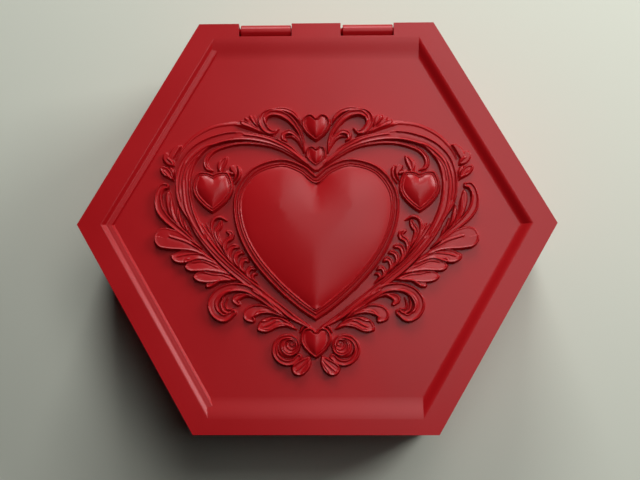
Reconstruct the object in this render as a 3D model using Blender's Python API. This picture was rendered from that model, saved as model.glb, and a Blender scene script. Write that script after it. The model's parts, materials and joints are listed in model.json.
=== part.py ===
"""Hexagonal storage box: a printed tub and a hinged lid that carries a carved heart relief.

The frame is in metres, +Z up, with its origin at the middle of the underside.
The hinge is on the +Y side. Sizes below are in millimetres, and MM turns them to metres.
"""

import math

import bmesh
import bpy
import numpy as np
from mathutils.geometry import delaunay_2d_cdt

MM = 0.001

# Box and lid
CORNER_RADIUS = 90.0
HEIGHT = 60.0
LID_THICKNESS = 5.0
WALL = 3.0
FLOOR = 3.0
GAP = 0.3
FOOT_CHAMFER = 0.8

# Recessed panel of the lid. An apothem runs from the lid's middle square to its sides.
PANEL_APOTHEM = 66.0
PANEL_DEPTH = 2.0
SHOULDER_WIDTH = 4.0
SHOULDER_SLOPE = math.radians(38)
SHOULDER_STEPS = 3

# Hinge, with its knuckles on the tub and its ears on the lid. Spans run along X.
KNUCKLE_RADIUS = 2.44
KNUCKLE_SIDES = 32
KNUCKLE_WRAP = math.radians(226)
KNUCKLE_SPANS = ((-29.0, -9.75), (10.2, 29.4))
NOTCH_SPANS = ((-29.65, -9.4), (9.4, 29.75))
NOTCH_CLEARANCE = 0.16
EAR_CORNER_STEPS = 8
CORBEL_DEPTH = 5.0
CORBEL_INSET = 0.005
WALL_RELIEF = 1.0
PIVOT_RADIUS = 1.45
PIVOT_TIP_RADIUS = 0.75
PIVOT_DEPTH = 1.2
PIVOT_ROOT = 0.5
PIVOT_CLEARANCE = 0.3
PIVOT_SIDES = 16
CUT_MARGIN = 2.0

# Carving: the rounded edge of every shape, then the spacing of mesh points along and across it
EDGE_WIDTH = 0.9
SWEEP_STEP = 2.1
CREST_INSET = 0.75
HIDDEN_BY = 1.2
CREST_TOLERANCE = 0.15
MIDDLE_SNAP = 0.2
POINT_MERGE = 1e-4
FAR = 1e9

APOTHEM = CORNER_RADIUS * math.cos(math.radians(30))
AXIS_Y = APOTHEM - KNUCKLE_RADIUS
AXIS_Z = HEIGHT - LID_THICKNESS / 2
LID_UNDERSIDE = HEIGHT - LID_THICKNESS
WALL_TOP = LID_UNDERSIDE - GAP

RED = (0.50, 0.016, 0.022, 1.0)
ROUGHNESS = 0.4
SHARP_ANGLE = math.radians(40)


# Carving, drawn on the left half of the lid and mirrored. A spine is a list of
# (x, y, half width) from the lid's middle, and a height is above the panel.


def leaf(root, tip, bow, half_width, belly=0.6, end=0.35):
    """Spine of a leaf. bow is how far its middle bends to the left of the way to the tip."""
    (x0, y0), (x1, y1) = root, tip
    length = math.hypot(x1 - x0, y1 - y0)
    power = math.log(0.5) / math.log(belly)
    spine = []
    for t in np.linspace(0, 1, 7):
        side = 4 * bow * t * (1 - t) / length
        x = x0 + (x1 - x0) * t - (y1 - y0) * side
        y = y0 + (y1 - y0) * t + (x1 - x0) * side
        width = end + (half_width - end) * math.sin(math.pi * t**power) ** 0.8
        spine.append((x, y, width))
    return spine


def scroll(start, end, first_angle, turns):
    """Spine of a spiral. start and end are each (centre x, centre y, radius, half width)."""
    spine = []
    for k in np.linspace(0, 1, round(12 * turns) + 1):
        x, y, radius, width = (a + (b - a) * k for a, b in zip(start, end))
        angle = math.radians(first_angle) + 2 * math.pi * turns * k
        spine.append((x + radius * math.cos(angle), y + radius * math.sin(angle), width))
    return spine


CARVING = (
    ("frame", 2.3, [
        (-2.6, -38.6, 0.9), (-11, -32.9, 2), (-22, -24, 2.1), (-34, -14.7, 2.2),
        (-43.4, -4.2, 2.6), (-49.2, 9, 3.2), (-50.2, 18, 3.3), (-47.6, 26, 3.1), (-41, 31.5, 2.5),
        (-31, 33.8, 1.8), (-21, 32.9, 1.8), (-12, 29.8, 1.7), (-3, 23, 0.8)]),
    ("inner_strip", 1.7, [
        (-2.6, 22.2, 0.6), (-14, 29, 0.8), (-27, 31, 0.9), (-37, 29.8, 0.9), (-41.6, 27, 1.1),
        (-42.9, 23.6, 1.3), (-41.6, 21, 0.9), (-39.2, 20.6, 0.4)]),
    ("outer_swell", 0.4, [
        (-21, 38.4, 0.5), (-31, 38.9, 0.7), (-39, 37.8, 0.7), (-46, 34.2, 0.7), (-51, 29, 0.6),
        (-53, 25, 0.4)]),
    ("top_scroll", 2.5, [
        (-4.8, 27.4, 0.5), (-4.9, 31.2, 0.8), (-6.3, 36, 1.2), (-10.2, 41.2, 1.7),
        (-15.6, 43.8, 1.7), (-19.8, 42.2, 1.7), (-20.5, 38.8, 1.7), (-18.4, 35.9, 1.4),
        (-15.6, 35.7, 1), (-14.2, 37.1, 0.5)]),
    ("top_leaf", 2.0, [
        (-4.9, 28.2, 0.4), (-6.4, 32.6, 0.9), (-9.6, 35.4, 1.1), (-12.1, 34.8, 1.1),
        (-12.5, 32.9, 0.9), (-11.4, 32, 0.6)]),
    ("top_tendril", 1.8, [
        (-5.4, 29.2, 0.4), (-6.8, 31.9, 0.7), (-8.6, 33.4, 0.7), (-10.2, 33.3, 0.4)]),
    ("sprig_1", 1.6, leaf((-20.4, 35.4), (-28.6, 39.6), 0.3, 1.3, 0.8, 0.6)),
    ("sprig_2", 1.6, leaf((-20.8, 35.8), (-27.1, 41.1), 0.2, 0.95, 0.72)),
    ("sprig_3", 1.7, leaf((-21.2, 36.2), (-25.3, 41.9), 0.1, 0.95, 0.72)),
    ("sprig_4", 1.7, leaf((-21.5, 36.6), (-23.7, 41.9), 0.1, 1.05, 0.72)),
    ("sprig_root", 1.1, leaf((-15.0, 33.4), (-31.5, 38.6), -0.8, 1.2, 0.45, 0.2)),
    ("bud_body", 1.6, [
        (-54, 22.6, 0.5), (-55.6, 24.2, 1.7), (-56.6, 25.6, 1.8), (-57, 26.6, 1.3)]),
    ("bud_lobe", 1.6, [
        (-55.4, 25, 1.2), (-54.4, 27.2, 1.4), (-53.2, 28.9, 1.2), (-52.2, 29.8, 0.9),
        (-51.4, 30.1, 0.5)]),
    ("pointed_leaf", 1.8, leaf((-53.9, 16.8), (-58.9, 21.9), -0.35, 1.8, 0.62)),
    ("pointed_leaf_side", 1.7, leaf((-53.9, 17.8), (-55.6, 22.0), -0.6, 0.9, 0.6)),
    ("hook_leaf", 2.4, [
        (-43, -9.2, 0.4), (-48.5, -4.5, 0.9), (-52.5, -1.4, 1.2), (-56.4, 2.3, 1.7),
        (-59.1, 6.2, 1.9), (-59.9, 10, 1.8), (-58.6, 13.2, 1.5), (-56.5, 14.6, 1.3)]),
    ("pod_1", 2.2, leaf((-49.4, -2.6), (-55.6, 12.4), -1.3, 1.7, 0.66)),
    ("pod_2", 2.1, leaf((-48.6, -2.8), (-51.8, 7.2), -0.9, 1.15, 0.62)),
    ("pod_3", 2.0, leaf((-47.6, -3.6), (-49.6, 1.3), -0.4, 0.8, 0.6)),
    ("round_leaf", 2.4, [
        (-39.5, -12.6, 0.4), (-43, -10.6, 1), (-46.5, -8.8, 1.7), (-50, -7.1, 3), (-53.6, -5.9, 4),
        (-56.7, -5.2, 4.3)]),
    ("lobe_1", 2.2, [
        (-35, -16.6, 0.3), (-39.5, -13.4, 1.2), (-44, -11.8, 1.8), (-49.2, -12.5, 2.5),
        (-52, -12.8, 1.8), (-53.9, -12.2, 0.5)]),
    ("lobe_2", 2.2, [
        (-31.5, -19.4, 0.3), (-35, -17.6, 1.2), (-39.5, -16, 2), (-44, -15.8, 2.3),
        (-46.8, -16.2, 1.8), (-48.8, -16.1, 0.5)]),
    ("lobe_3", 2.2, [
        (-29, -21, 0.3), (-33, -20.3, 1.4), (-38, -20.2, 2), (-42, -20.2, 2.1), (-44, -20, 1.6),
        (-45.2, -19.7, 0.8)]),
    ("lobe_4", 2.1, [
        (-35.5, -20.8, 0.8), (-38.5, -21.9, 1.7), (-40.2, -23, 1.2), (-40.8, -23.2, 0.6)]),
    ("lower_scroll", 2.5, [
        (-10, -36.2, 0.4), (-16, -31.3, 1), (-20.5, -27.6, 1.4), (-26, -24.3, 1.7),
        (-31.5, -23.9, 1.9), (-36.2, -26.1, 2.1), (-38.3, -30, 2.2), (-37, -33.7, 2),
        (-33.8, -35.3, 1.7), (-30.7, -33.2, 1.4)]),
    ("lower_curl_1", 1.7, [
        (-34.6, -27.4, 0.4), (-35.2, -30.2, 0.8), (-34.3, -32.6, 0.8), (-32.6, -33.5, 0.7)]),
    ("lower_curl_2", 1.5, [
        (-33, -27.6, 0.3), (-33.7, -30, 0.6), (-33.1, -31.8, 0.6), (-31.4, -31.8, 0.5)]),
    ("small_hook", 1.9, [
        (-17.5, -31.2, 0.4), (-21.5, -28, 0.8), (-25.5, -26.7, 0.8), (-28.6, -27.2, 1.4),
        (-30, -28.4, 1.5), (-28.8, -30.1, 0.9)]),
    ("lower_leaf_1", 2.4, [
        (-12.2, -35, 0.4), (-16.5, -32.7, 1.2), (-20.5, -32, 2), (-24, -33, 2.5),
        (-25, -34.6, 2.1), (-23.6, -35.9, 1.3)]),
    ("lower_leaf_2", 2.2, [
        (-7.2, -39.4, 0.4), (-11, -37.2, 1.4), (-15, -36.9, 2.3), (-18.3, -37.9, 2.8),
        (-20.4, -38.9, 1.6)]),
    ("lower_leaf_2_edge", 2.3, [
        (-6.2, -40.8, 0.3), (-10, -38.5, 0.6), (-14, -38.6, 0.7), (-17, -39.9, 0.7),
        (-19, -40.2, 0.4)]),
    ("volute", 2.4, scroll((-9, -44.2, 0.6, 0.5), (-11, -46.9, 5.4, 1.4), 222, 2.3)),
    ("petal", 2.2, [
        (-2.4, -49.6, 0.6), (-3.6, -51.6, 2), (-5.2, -53.2, 2.8), (-6.2, -53.8, 2.9)]),
    ("crown", 1.9, [
        (-5.9, -40.6, 0.4), (-4.8, -38.6, 0.7), (-3, -38, 0.6), (-1.6, -39, 0.3)]),
    ("spray_1", 1.9, [
        (-33.4, -12.6, 0.4), (-36.2, -8.8, 0.7), (-38.1, -5, 0.9), (-39, -1.2, 1), (-38.3, 1.6, 1),
        (-36, 2.7, 0.8), (-33.7, 1.3, 0.4)]),
    ("spray_2", 1.8, [
        (-34.6, -9.6, 0.3), (-36.9, -5, 0.9), (-37.3, -2.2, 1.1), (-35.9, -0.4, 1.1),
        (-35.5, 0.7, 0.7)]),
    ("spray_3", 2.0, [
        (-33.4, -12.6, 0.3), (-34.4, -8.6, 0.9), (-33.7, -6.2, 1.1), (-31.9, -5, 1.2),
        (-31.7, -3.5, 1.1), (-33.3, -2.7, 0.7)]),
    ("spray_4", 1.8, [
        (-30.4, -15.6, 0.4), (-32.7, -12.2, 1), (-32.8, -9.6, 1.2), (-31.2, -8.2, 1.1),
        (-29.2, -9, 0.5)]),
    ("spray_5", 1.9, [
        (-28.4, -17.2, 0.3), (-30.3, -14, 0.9), (-30, -11.4, 1), (-28.4, -10.2, 1),
        (-27.5, -11, 0.5)]),
    ("spray_6", 1.9, [
        (-26.2, -18.8, 0.3), (-28.2, -16.2, 0.9), (-28, -13.9, 1), (-26.5, -13, 1.1),
        (-25.5, -14.2, 0.7)]),
    ("spray_7", 1.9, [
        (-23.4, -21.2, 0.3), (-25.5, -19.2, 0.9), (-25.4, -17.1, 1), (-24.1, -16.1, 1),
        (-22.8, -17.2, 0.6)]),
    ("spray_8", 1.7, [
        (-21.6, -22.4, 0.3), (-23.7, -20.2, 0.7), (-23.2, -18.8, 0.8), (-22.1, -18.9, 0.5)]),
    ("blade_1", 1.4, leaf((-35.4, -10.4), (-43.0, 0.2), 0.2, 0.8, 0.6)),
    ("blade_2", 1.4, leaf((-35.4, -9.8), (-41.3, 0.2), 0.2, 0.8, 0.6)),
    ("blade_3", 1.4, leaf((-35.6, -9.0), (-39.8, -2.2), 0.1, 0.7, 0.6)),
    ("heart_bud_1", 2.0, leaf((-36.1, 19.8), (-34.6, 25.6), 0.5, 1.7, 0.55, 0.6)),
    ("heart_bud_2", 1.9, [
        (-31.2, 16.6, 0.4), (-30.4, 19, 0.8), (-31.2, 21.2, 1.4), (-32.3, 21.6, 1)]),
    ("heart_bud_stem", 1.9, [
        (-30.6, 15.6, 0.4), (-29.3, 18.4, 0.8), (-29.3, 20.8, 0.8), (-29.9, 22.2, 0.4)]),
    ("heart_bud_foot", 1.7, [
        (-34, 20.2, 0.7), (-31.6, 19.4, 0.8)]),
)

# Hearts: middle x, half width, then the heights of lobe top, cleft, widest place and tip;
# frame width, frame height, rise of the domed middle, how far in the dome reaches its top, and
# the rise of a flat bulge over the whole heart.
HEARTS = (
    ("central_heart", (0, 31.4, 25.2, 18.7, 7.0, -36.4), 3.3, 2.3, 1.6, 24, 0.8),
    ("top_heart", (0, 5.7, 42.6, 41.0, 38.6, 31.5), 1.2, 2.6, 0.7, 4, 0.2),
    ("throat_heart", (0, 4.1, 30.1, 29.1, 26.6, 21.8), 0.85, 2.4, 0.6, 3, 0.2),
    ("bottom_heart", (0, 5.9, -38.5, -39.9, -42.8, -50.4), 1.2, 2.6, 0.7, 4, 0.2),
    ("side_heart", (-38.9, 7.9, 20.4, 19.3, 14.0, 4.1), 1.7, 2.1, 0.9, 5.2, 0.2),
)


def smooth_line(points, step):
    """A smooth curve through points of any number of columns, with a point about every step."""
    p = np.array(points, float)
    p = np.vstack([2 * p[0] - p[1], p, 2 * p[-1] - p[-2]])
    line = []
    for a, b, c, d in zip(p, p[1:], p[2:], p[3:]):
        count = max(1, round(math.hypot(*(c - b)[:2]) / step))
        square = 2 * a - 5 * b + 4 * c - d
        cube = 3 * b - a - 3 * c + d
        for t in np.arange(count) / count:
            line.append((2 * b + (c - a) * t + square * t**2 + cube * t**3) / 2)
    line.append(p[-2])
    return np.array(line)


def sweep_height(line, top, x, y):
    """Height of a rounded band that follows a line of (x, y, half width)."""
    gap = np.full(x.shape, FAR)
    width = np.ones(x.shape)
    for (ax, ay, aw), (bx, by, bw) in zip(line, line[1:]):
        dx, dy = bx - ax, by - ay
        t = np.clip(((x - ax) * dx + (y - ay) * dy) / (dx * dx + dy * dy), 0, 1)
        w = aw + (bw - aw) * t
        outside = np.hypot(x - ax - t * dx, y - ay - t * dy) - w
        nearer = outside < gap
        gap = np.where(nearer, outside, gap)
        width = np.where(nearer, w, width)
    rounding = np.sin(np.clip(-gap / np.minimum(EDGE_WIDTH, width), 0, 1) * math.pi / 2) ** 0.8
    thinning = np.minimum(1, 0.45 + 0.55 * width / EDGE_WIDTH)
    return top * rounding * thinning


def heart_outline(middle, half, lobe, cleft, side, tip, step):
    """Closed outline of a heart, from the cleft round the left side to the tip and back."""
    rise, fall = lobe - cleft, side - tip
    left = [
        (0, cleft),
        (-0.16 * half, cleft + 0.62 * rise),
        (-0.42 * half, lobe),
        (-0.74 * half, cleft + 0.55 * rise),
        (-0.94 * half, side + 0.45 * (lobe - side)),
        (-half, side),
        (-0.94 * half, side - 0.24 * fall),
        (-0.77 * half, side - 0.48 * fall),
        (-0.50 * half, side - 0.71 * fall),
        (-0.22 * half, side - 0.89 * fall),
        (0, tip),
    ]
    left = smooth_line(left, step)
    return np.vstack([left, left[-2:0:-1] * (-1, 1)]) + (middle, 0)


def inside_distance(outline, x, y):
    """Distance to a closed outline, positive inside it."""
    nearest = np.full(x.shape, FAR)
    inside = np.zeros(x.shape, bool)
    for (ax, ay), (bx, by) in zip(outline, np.roll(outline, -1, 0)):
        dx, dy = bx - ax, by - ay
        t = np.clip(((x - ax) * dx + (y - ay) * dy) / (dx * dx + dy * dy), 0, 1)
        nearest = np.minimum(nearest, np.hypot(x - ax - t * dx, y - ay - t * dy))
        if ay != by:
            inside ^= ((ay > y) != (by > y)) & (x < ax + (y - ay) * dx / dy)
    return np.where(inside, nearest, -nearest)


def heart_inset(shape, x, y):
    """How far inside a heart's outline each point lies."""
    half = shape[1]
    return inside_distance(heart_outline(*shape, min(1.0, half * 0.12)), x, y)


def heart_height(shape, frame, top, dome, full, bulge, x, y):
    """Height of a framed heart whose middle is domed, with a crease below its cleft."""
    middle, half, lobe, cleft, _, tip = shape
    inset = heart_inset(shape, x, y)
    rim = top * np.sin(np.clip(inset / EDGE_WIDTH, 0, 1) * math.pi / 2) ** 0.8
    share = np.clip((inset - frame) / full, 0, 1)
    across, along = (x - middle) / half, 2 * (y - tip) / (lobe - tip) - 1
    puff = dome * share * (2 - share) + bulge * np.clip(1 - across**2 - along**2, 0, 1)
    groove = 0.7 * np.exp(-(((inset - frame) / 0.35) ** 2))
    fade = np.clip((y - cleft + frame) / (0.4 * half) + 1, 0, 1)
    crease = bulge * np.exp(-np.abs(x - middle) / (0.08 * half)) * fade * (share > 0)
    return np.where(inset > 0, rim + puff - groove - crease, 0)


SWEEPS = [(smooth_line(spine, SWEEP_STEP), top) for _, top, spine in CARVING]


def relief(x, y):
    """Height of the whole carving above the panel."""
    x = -np.abs(x)
    z = np.zeros(x.shape)
    for line, top in SWEEPS:
        z = np.maximum(z, sweep_height(line, top, x, y))
    for _, *heart in HEARTS:
        z = np.maximum(z, heart_height(*heart, x, y))
    return z


# Guide lines of the lid's mesh, on the left half: the foot and the crest of each shape


def visible_runs(points, heights=None):
    """Cuts a line where another shape covers it. Crest points give their own heights."""
    covered = relief(points[:, 0], points[:, 1])
    if heights is None:
        seen = covered < HIDDEN_BY
    else:
        seen = covered - heights < CREST_TOLERANCE
    seen &= points[:, 0] < POINT_MERGE
    runs, run = [], []
    for point, kept in zip(points, seen):
        if kept:
            run.append(point)
        elif run:
            runs.append(run)
            run = []
    return runs + [run] if run else runs


def sweep_guides(line, top):
    """Foot line round a band, and its crest lines."""
    xy, width = line[:, :2], line[:, 2]
    along = np.gradient(xy, axis=0)
    along /= np.linalg.norm(along, axis=1)[:, None]
    across = np.stack([-along[:, 1], along[:, 0]], 1)
    ends = []
    for place, out in ((-1, 1), (0, -1)):
        turn = np.radians((45, 0, -45) if width[place] > EDGE_WIDTH else (0,))[:, None]
        side = across[place] * out * np.sin(turn) + along[place] * out * np.cos(turn)
        ends.append(xy[place] + side * width[place])
    left_side = xy + across * width[:, None]
    right_side = xy - across * width[:, None]
    foot = np.vstack([left_side, ends[0], right_side[::-1], ends[1], left_side[:1]])
    guides = visible_runs(foot)
    crests = []
    if width.max() > 1.5 * EDGE_WIDTH:
        inset = across * np.maximum(width - CREST_INSET, 0)[:, None]
        crests += [xy - inset, xy + inset]
    if not 1.5 * EDGE_WIDTH < width.max() < 2.6 * EDGE_WIDTH:
        crests.append(xy)
    for crest in crests:
        guides += visible_runs(crest, sweep_height(line, top, crest[:, 0], crest[:, 1]))
    return guides


def heart_guides(shape, frame, top, dome, full, bulge):
    """Foot, frame and dome lines of a heart, and single points spread over its dome."""
    half, lobe, tip = shape[1], shape[2], shape[5]
    outline = heart_outline(*shape, min(2.4, half * 0.22))
    along = np.roll(outline, -1, 0) - np.roll(outline, 1, 0)
    along /= np.linalg.norm(along, axis=1)[:, None]
    inward = np.stack([-along[:, 1], along[:, 0]], 1)
    guides = visible_runs(np.vstack([outline, outline[:1]]))
    rings = [CREST_INSET, frame, frame + 0.1 * full, frame + 0.35 * full]
    if frame > 2 * CREST_INSET:
        rings.append(frame - 0.4)
    for inset in rings:
        ring = outline + inward * inset
        height = heart_height(shape, frame, top, dome, full, bulge, ring[:, 0], ring[:, 1])
        height[heart_inset(shape, ring[:, 0], ring[:, 1]) < 0.9 * inset] = -1
        guides += visible_runs(ring, height)
    spacing = 0.15 * half
    columns = shape[0] + spacing * np.arange(-6, 7)
    x, y = (grid.ravel() for grid in np.meshgrid(columns, np.arange(tip, lobe, spacing)))
    kept = heart_inset(shape, x, y) > frame + 0.35 * full + 0.4 * spacing
    on_middle = (x == 0) & (heart_inset(shape, x, y) > frame + 0.1 * full + 0.4 * spacing)
    points = np.stack([x, y], 1)[(kept | on_middle) & (x <= 0)]
    return guides + [[point] for point in points]


# Lid surface


def hexagon(apothem):
    """Corners of a hexagon with two sides square to Y, from the +X corner round."""
    radius = apothem / math.cos(math.radians(30))
    turns = np.radians(range(0, 360, 60))
    return [(radius * math.cos(turn), radius * math.sin(turn)) for turn in turns]


def apothem_of(x, y):
    """Apothem of the hexagon that a point lies on."""
    slant = np.abs(x) * math.cos(math.radians(30)) + np.abs(y) * 0.5
    return np.maximum(slant, np.abs(y))


def shoulder_profile():
    """Apothem and depth of the slope between panel and rim: a straight foot, then an arc."""
    sine, cosine = math.sin(SHOULDER_SLOPE), math.cos(SHOULDER_SLOPE)
    slope = sine / cosine
    radius = (SHOULDER_WIDTH * slope - PANEL_DEPTH) / (sine * slope - 1 + cosine)
    rim = PANEL_APOTHEM + SHOULDER_WIDTH
    profile = [(PANEL_APOTHEM, -PANEL_DEPTH)]
    for turn in np.linspace(SHOULDER_SLOPE, 0, SHOULDER_STEPS + 1):
        profile.append((rim - radius * math.sin(turn), -radius * (1 - math.cos(turn))))
    return profile


SHOULDER = shoulder_profile()


def lid_height(x, y):
    """Height of the lid's top face above the rim, in millimetres."""
    apothem = apothem_of(x, y)
    base = np.interp(apothem, *zip(*SHOULDER))
    return base + np.where(apothem < PANEL_APOTHEM, relief(x, y), 0)


def half_ring(apothem):
    """The left half of a hexagon, from its back side round to its front side."""
    half_side = hexagon(apothem)[1][0]
    left = [(-half_side, apothem), (-2 * half_side, 0), (-half_side, -apothem)]
    return [(0, apothem), *left, (0, -apothem)]


def left_half_mesh():
    """Triangles over the left half of the lid, with edges along every guide line."""
    runs = [half_ring(apothem) for apothem, _ in SHOULDER]
    runs.append(half_ring(APOTHEM))
    for sweep in SWEEPS:
        runs += sweep_guides(*sweep)
    for _, *heart in HEARTS:
        runs += heart_guides(*heart)
    points, edges = [], []
    for run in runs:
        first = len(points)
        points += [(0.0 if x > -MIDDLE_SNAP else x, y) for x, y in run]
        edges += [(first + i, first + i + 1) for i in range(len(run) - 1)]
    middle = sorted((y, i) for i, (x, y) in enumerate(points) if x == 0)
    edges += [(a[1], b[1]) for a, b in zip(middle, middle[1:])]
    found = delaunay_2d_cdt(points, edges, [], 0, POINT_MERGE)
    return np.array([tuple(p) for p in found[0]]), found[2]


def mesh_object(name, bm, material=None):
    """A new object from a bmesh in millimetres, with its normals out."""
    bmesh.ops.recalc_face_normals(bm, faces=bm.faces)
    bmesh.ops.scale(bm, vec=(MM, MM, MM), verts=bm.verts)
    mesh = bpy.data.meshes.new(name)
    bm.to_mesh(mesh)
    bm.free()
    mesh.shade_smooth()
    mesh.set_sharp_from_angle(angle=SHARP_ANGLE)
    obj = bpy.data.objects.new(name, mesh)
    bpy.context.scene.collection.objects.link(obj)
    if material:
        mesh.materials.append(material)
    return obj


def prism_along_x(name, outline, x_low, x_high):
    """A bar with an outline of (y, z) points."""
    bm = bmesh.new()
    face = bm.faces.new([bm.verts.new((x_low, y, z)) for y, z in outline])
    sweep = bmesh.ops.extrude_face_region(bm, geom=[face])
    moved = [v for v in sweep["geom"] if isinstance(v, bmesh.types.BMVert)]
    bmesh.ops.translate(bm, vec=(x_high - x_low, 0, 0), verts=moved)
    return mesh_object(name, bm)


def hinge_arc(first_turn, last_turn, steps):
    """Points of the hinge barrel's circle as (y, z). A turn of 0 points along +Y."""
    turns = np.linspace(first_turn, last_turn, steps + 1)
    radius = KNUCKLE_RADIUS
    return [(AXIS_Y + radius * math.cos(t), AXIS_Z + radius * math.sin(t)) for t in turns]


def cone_along_x(name, x_base, x_tip, base_radius, tip_radius):
    """A blunt cone on the hinge axis."""
    bm = bmesh.new()
    turns = [2 * math.pi * i / PIVOT_SIDES for i in range(PIVOT_SIDES)]
    rings = []
    for x, radius in ((x_base, base_radius), (x_tip, tip_radius)):
        circle = [(AXIS_Y + radius * math.cos(t), AXIS_Z + radius * math.sin(t)) for t in turns]
        rings.append([bm.verts.new((x, y, z)) for y, z in circle])
    bridge(bm, *rings)
    bm.faces.new(rings[0])
    bm.faces.new(rings[1])
    return mesh_object(name, bm)


def bridge(bm, lower, upper):
    """Faces between two loops with equal counts."""
    for i in range(len(lower)):
        j = (i + 1) % len(lower)
        bm.faces.new((lower[i], lower[j], upper[j], upper[i]))


def apply_boolean(obj, other, operation):
    """Adds a Boolean with a helper, which is hidden from renders."""
    other.hide_render = True
    other.display_type = "WIRE"
    boolean = obj.modifiers.new(other.name, "BOOLEAN")
    boolean.operation = operation
    boolean.solver = "EXACT"
    boolean.object = other


def pivots():
    """Knuckle end, ear face and direction along X of each of the four cone pivots."""
    found = []
    for knuckle, notch in zip(KNUCKLE_SPANS, NOTCH_SPANS):
        found += [(knuckle[0], notch[0], -1), (knuckle[1], notch[1], 1)]
    return found


def lid_plate(material):
    """The plate with its carved top, an object that turns about the hinge axis."""
    points, triangles = left_half_mesh()
    heights = lid_height(points[:, 0], points[:, 1]) + HEIGHT
    bm = bmesh.new()
    left, right = [], []
    for (x, y), z in zip(points, heights):
        left.append(bm.verts.new((x, y, z)))
        right.append(left[-1] if x == 0 else bm.verts.new((-x, y, z)))
    for a, b, c in triangles:
        bm.faces.new((left[a], left[b], left[c]))
        bm.faces.new((right[c], right[b], right[a]))
    rim = [edge for edge in bm.edges if edge.is_boundary]
    sides = bmesh.ops.extrude_edge_only(bm, edges=rim)
    for vert in (v for v in sides["geom"] if isinstance(v, bmesh.types.BMVert)):
        vert.co.z = LID_UNDERSIDE
    underside = [edge for edge in bm.edges if edge.is_boundary]
    bmesh.ops.contextual_create(bm, geom=underside)
    bmesh.ops.translate(bm, vec=(0, -AXIS_Y, -AXIS_Z), verts=bm.verts)
    lid = mesh_object("lid", bm, material)
    lid.location = (0, AXIS_Y * MM, AXIS_Z * MM)
    return lid


def make_lid(material):
    """Lid with rounded ears, notches for the knuckles and sockets for the pivots."""
    lid = lid_plate(material)
    below, above, beyond = LID_UNDERSIDE - CUT_MARGIN, HEIGHT + CUT_MARGIN, APOTHEM + CUT_MARGIN

    corner = [(AXIS_Y, below), (AXIS_Y, LID_UNDERSIDE)]
    corner += hinge_arc(-math.pi / 2, 0, EAR_CORNER_STEPS)
    corner += [(beyond, AXIS_Z), (beyond, below)]
    rounding = prism_along_x("ear_rounding", corner, -CORNER_RADIUS, CORNER_RADIUS)
    apply_boolean(lid, rounding, "DIFFERENCE")

    front = AXIS_Y - KNUCKLE_RADIUS - NOTCH_CLEARANCE
    notch = [(front, below), (beyond, below), (beyond, above), (front, above)]
    for number, span in enumerate(NOTCH_SPANS, 1):
        apply_boolean(lid, prism_along_x(f"notch_{number}", notch, *span), "DIFFERENCE")

    slope = (PIVOT_RADIUS - PIVOT_TIP_RADIUS) / PIVOT_DEPTH
    mouth_radius = PIVOT_RADIUS + PIVOT_CLEARANCE + PIVOT_ROOT * slope
    end_radius = PIVOT_TIP_RADIUS + PIVOT_CLEARANCE * (1 - slope)
    for number, (_, ear_face, out) in enumerate(pivots(), 1):
        mouth = ear_face - out * PIVOT_ROOT
        end = ear_face + out * (PIVOT_DEPTH + PIVOT_CLEARANCE)
        socket = cone_along_x(f"socket_{number}", mouth, end, mouth_radius, end_radius)
        apply_boolean(lid, socket, "DIFFERENCE")
    return lid


def make_tub(material):
    """Six walls and a floor in one, with the hinge knuckles on the back wall."""
    wall_inside = APOTHEM - WALL
    sections = (
        (wall_inside, FLOOR),
        (wall_inside, WALL_TOP),
        (APOTHEM, WALL_TOP),
        (APOTHEM, FOOT_CHAMFER),
        (APOTHEM - FOOT_CHAMFER, 0),
    )
    bm = bmesh.new()
    rings = []
    for apothem, z in sections:
        rings.append([bm.verts.new((x, y, z)) for x, y in hexagon(apothem)])
    for lower, upper in zip(rings, rings[1:]):
        bridge(bm, lower, upper)
    bm.faces.new(rings[0])
    bm.faces.new(rings[-1])
    tub = mesh_object("box_body", bm, material)

    relief_start, relief_end = APOTHEM - WALL_RELIEF, WALL_TOP - WALL_RELIEF
    above, beyond = WALL_TOP + CUT_MARGIN, APOTHEM + CUT_MARGIN
    chamfer = [(relief_start, WALL_TOP), (APOTHEM, relief_end), (beyond, relief_end)]
    chamfer += [(beyond, above), (relief_start, above)]
    chamfer = prism_along_x("wall_relief", chamfer, -CORNER_RADIUS, CORNER_RADIUS)
    apply_boolean(tub, chamfer, "DIFFERENCE")

    corbel_foot = AXIS_Z - CORBEL_DEPTH
    arc_steps = round(KNUCKLE_SIDES * KNUCKLE_WRAP / (2 * math.pi))
    knuckle = hinge_arc(0, KNUCKLE_WRAP, arc_steps)
    knuckle += [(wall_inside + CORBEL_INSET, corbel_foot), (APOTHEM - CORBEL_INSET, corbel_foot)]
    for number, span in enumerate(KNUCKLE_SPANS, 1):
        apply_boolean(tub, prism_along_x(f"knuckle_{number}", knuckle, *span), "UNION")
    for number, (knuckle_end, ear_face, out) in enumerate(pivots(), 1):
        root = knuckle_end - out * PIVOT_ROOT
        tip = ear_face + out * PIVOT_DEPTH
        pivot = cone_along_x(f"pivot_{number}", root, tip, PIVOT_RADIUS, PIVOT_TIP_RADIUS)
        apply_boolean(tub, pivot, "UNION")
    return tub


def red_plastic():
    """Satin red printed plastic."""
    material = bpy.data.materials.new("red_plastic")
    material.use_nodes = True
    shader = material.node_tree.nodes["Principled BSDF"]
    shader.inputs["Base Color"].default_value = RED
    shader.inputs["Roughness"].default_value = ROUGHNESS
    shader.inputs["Metallic"].default_value = 0.0
    return material


for old in list(bpy.data.objects):
    bpy.data.objects.remove(old, do_unlink=True)

plastic = red_plastic()
make_tub(plastic)
make_lid(plastic)
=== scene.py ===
"""Dresses the hexagonal storage box: a printed tub under a hinged lid with a carved heart."""

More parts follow.
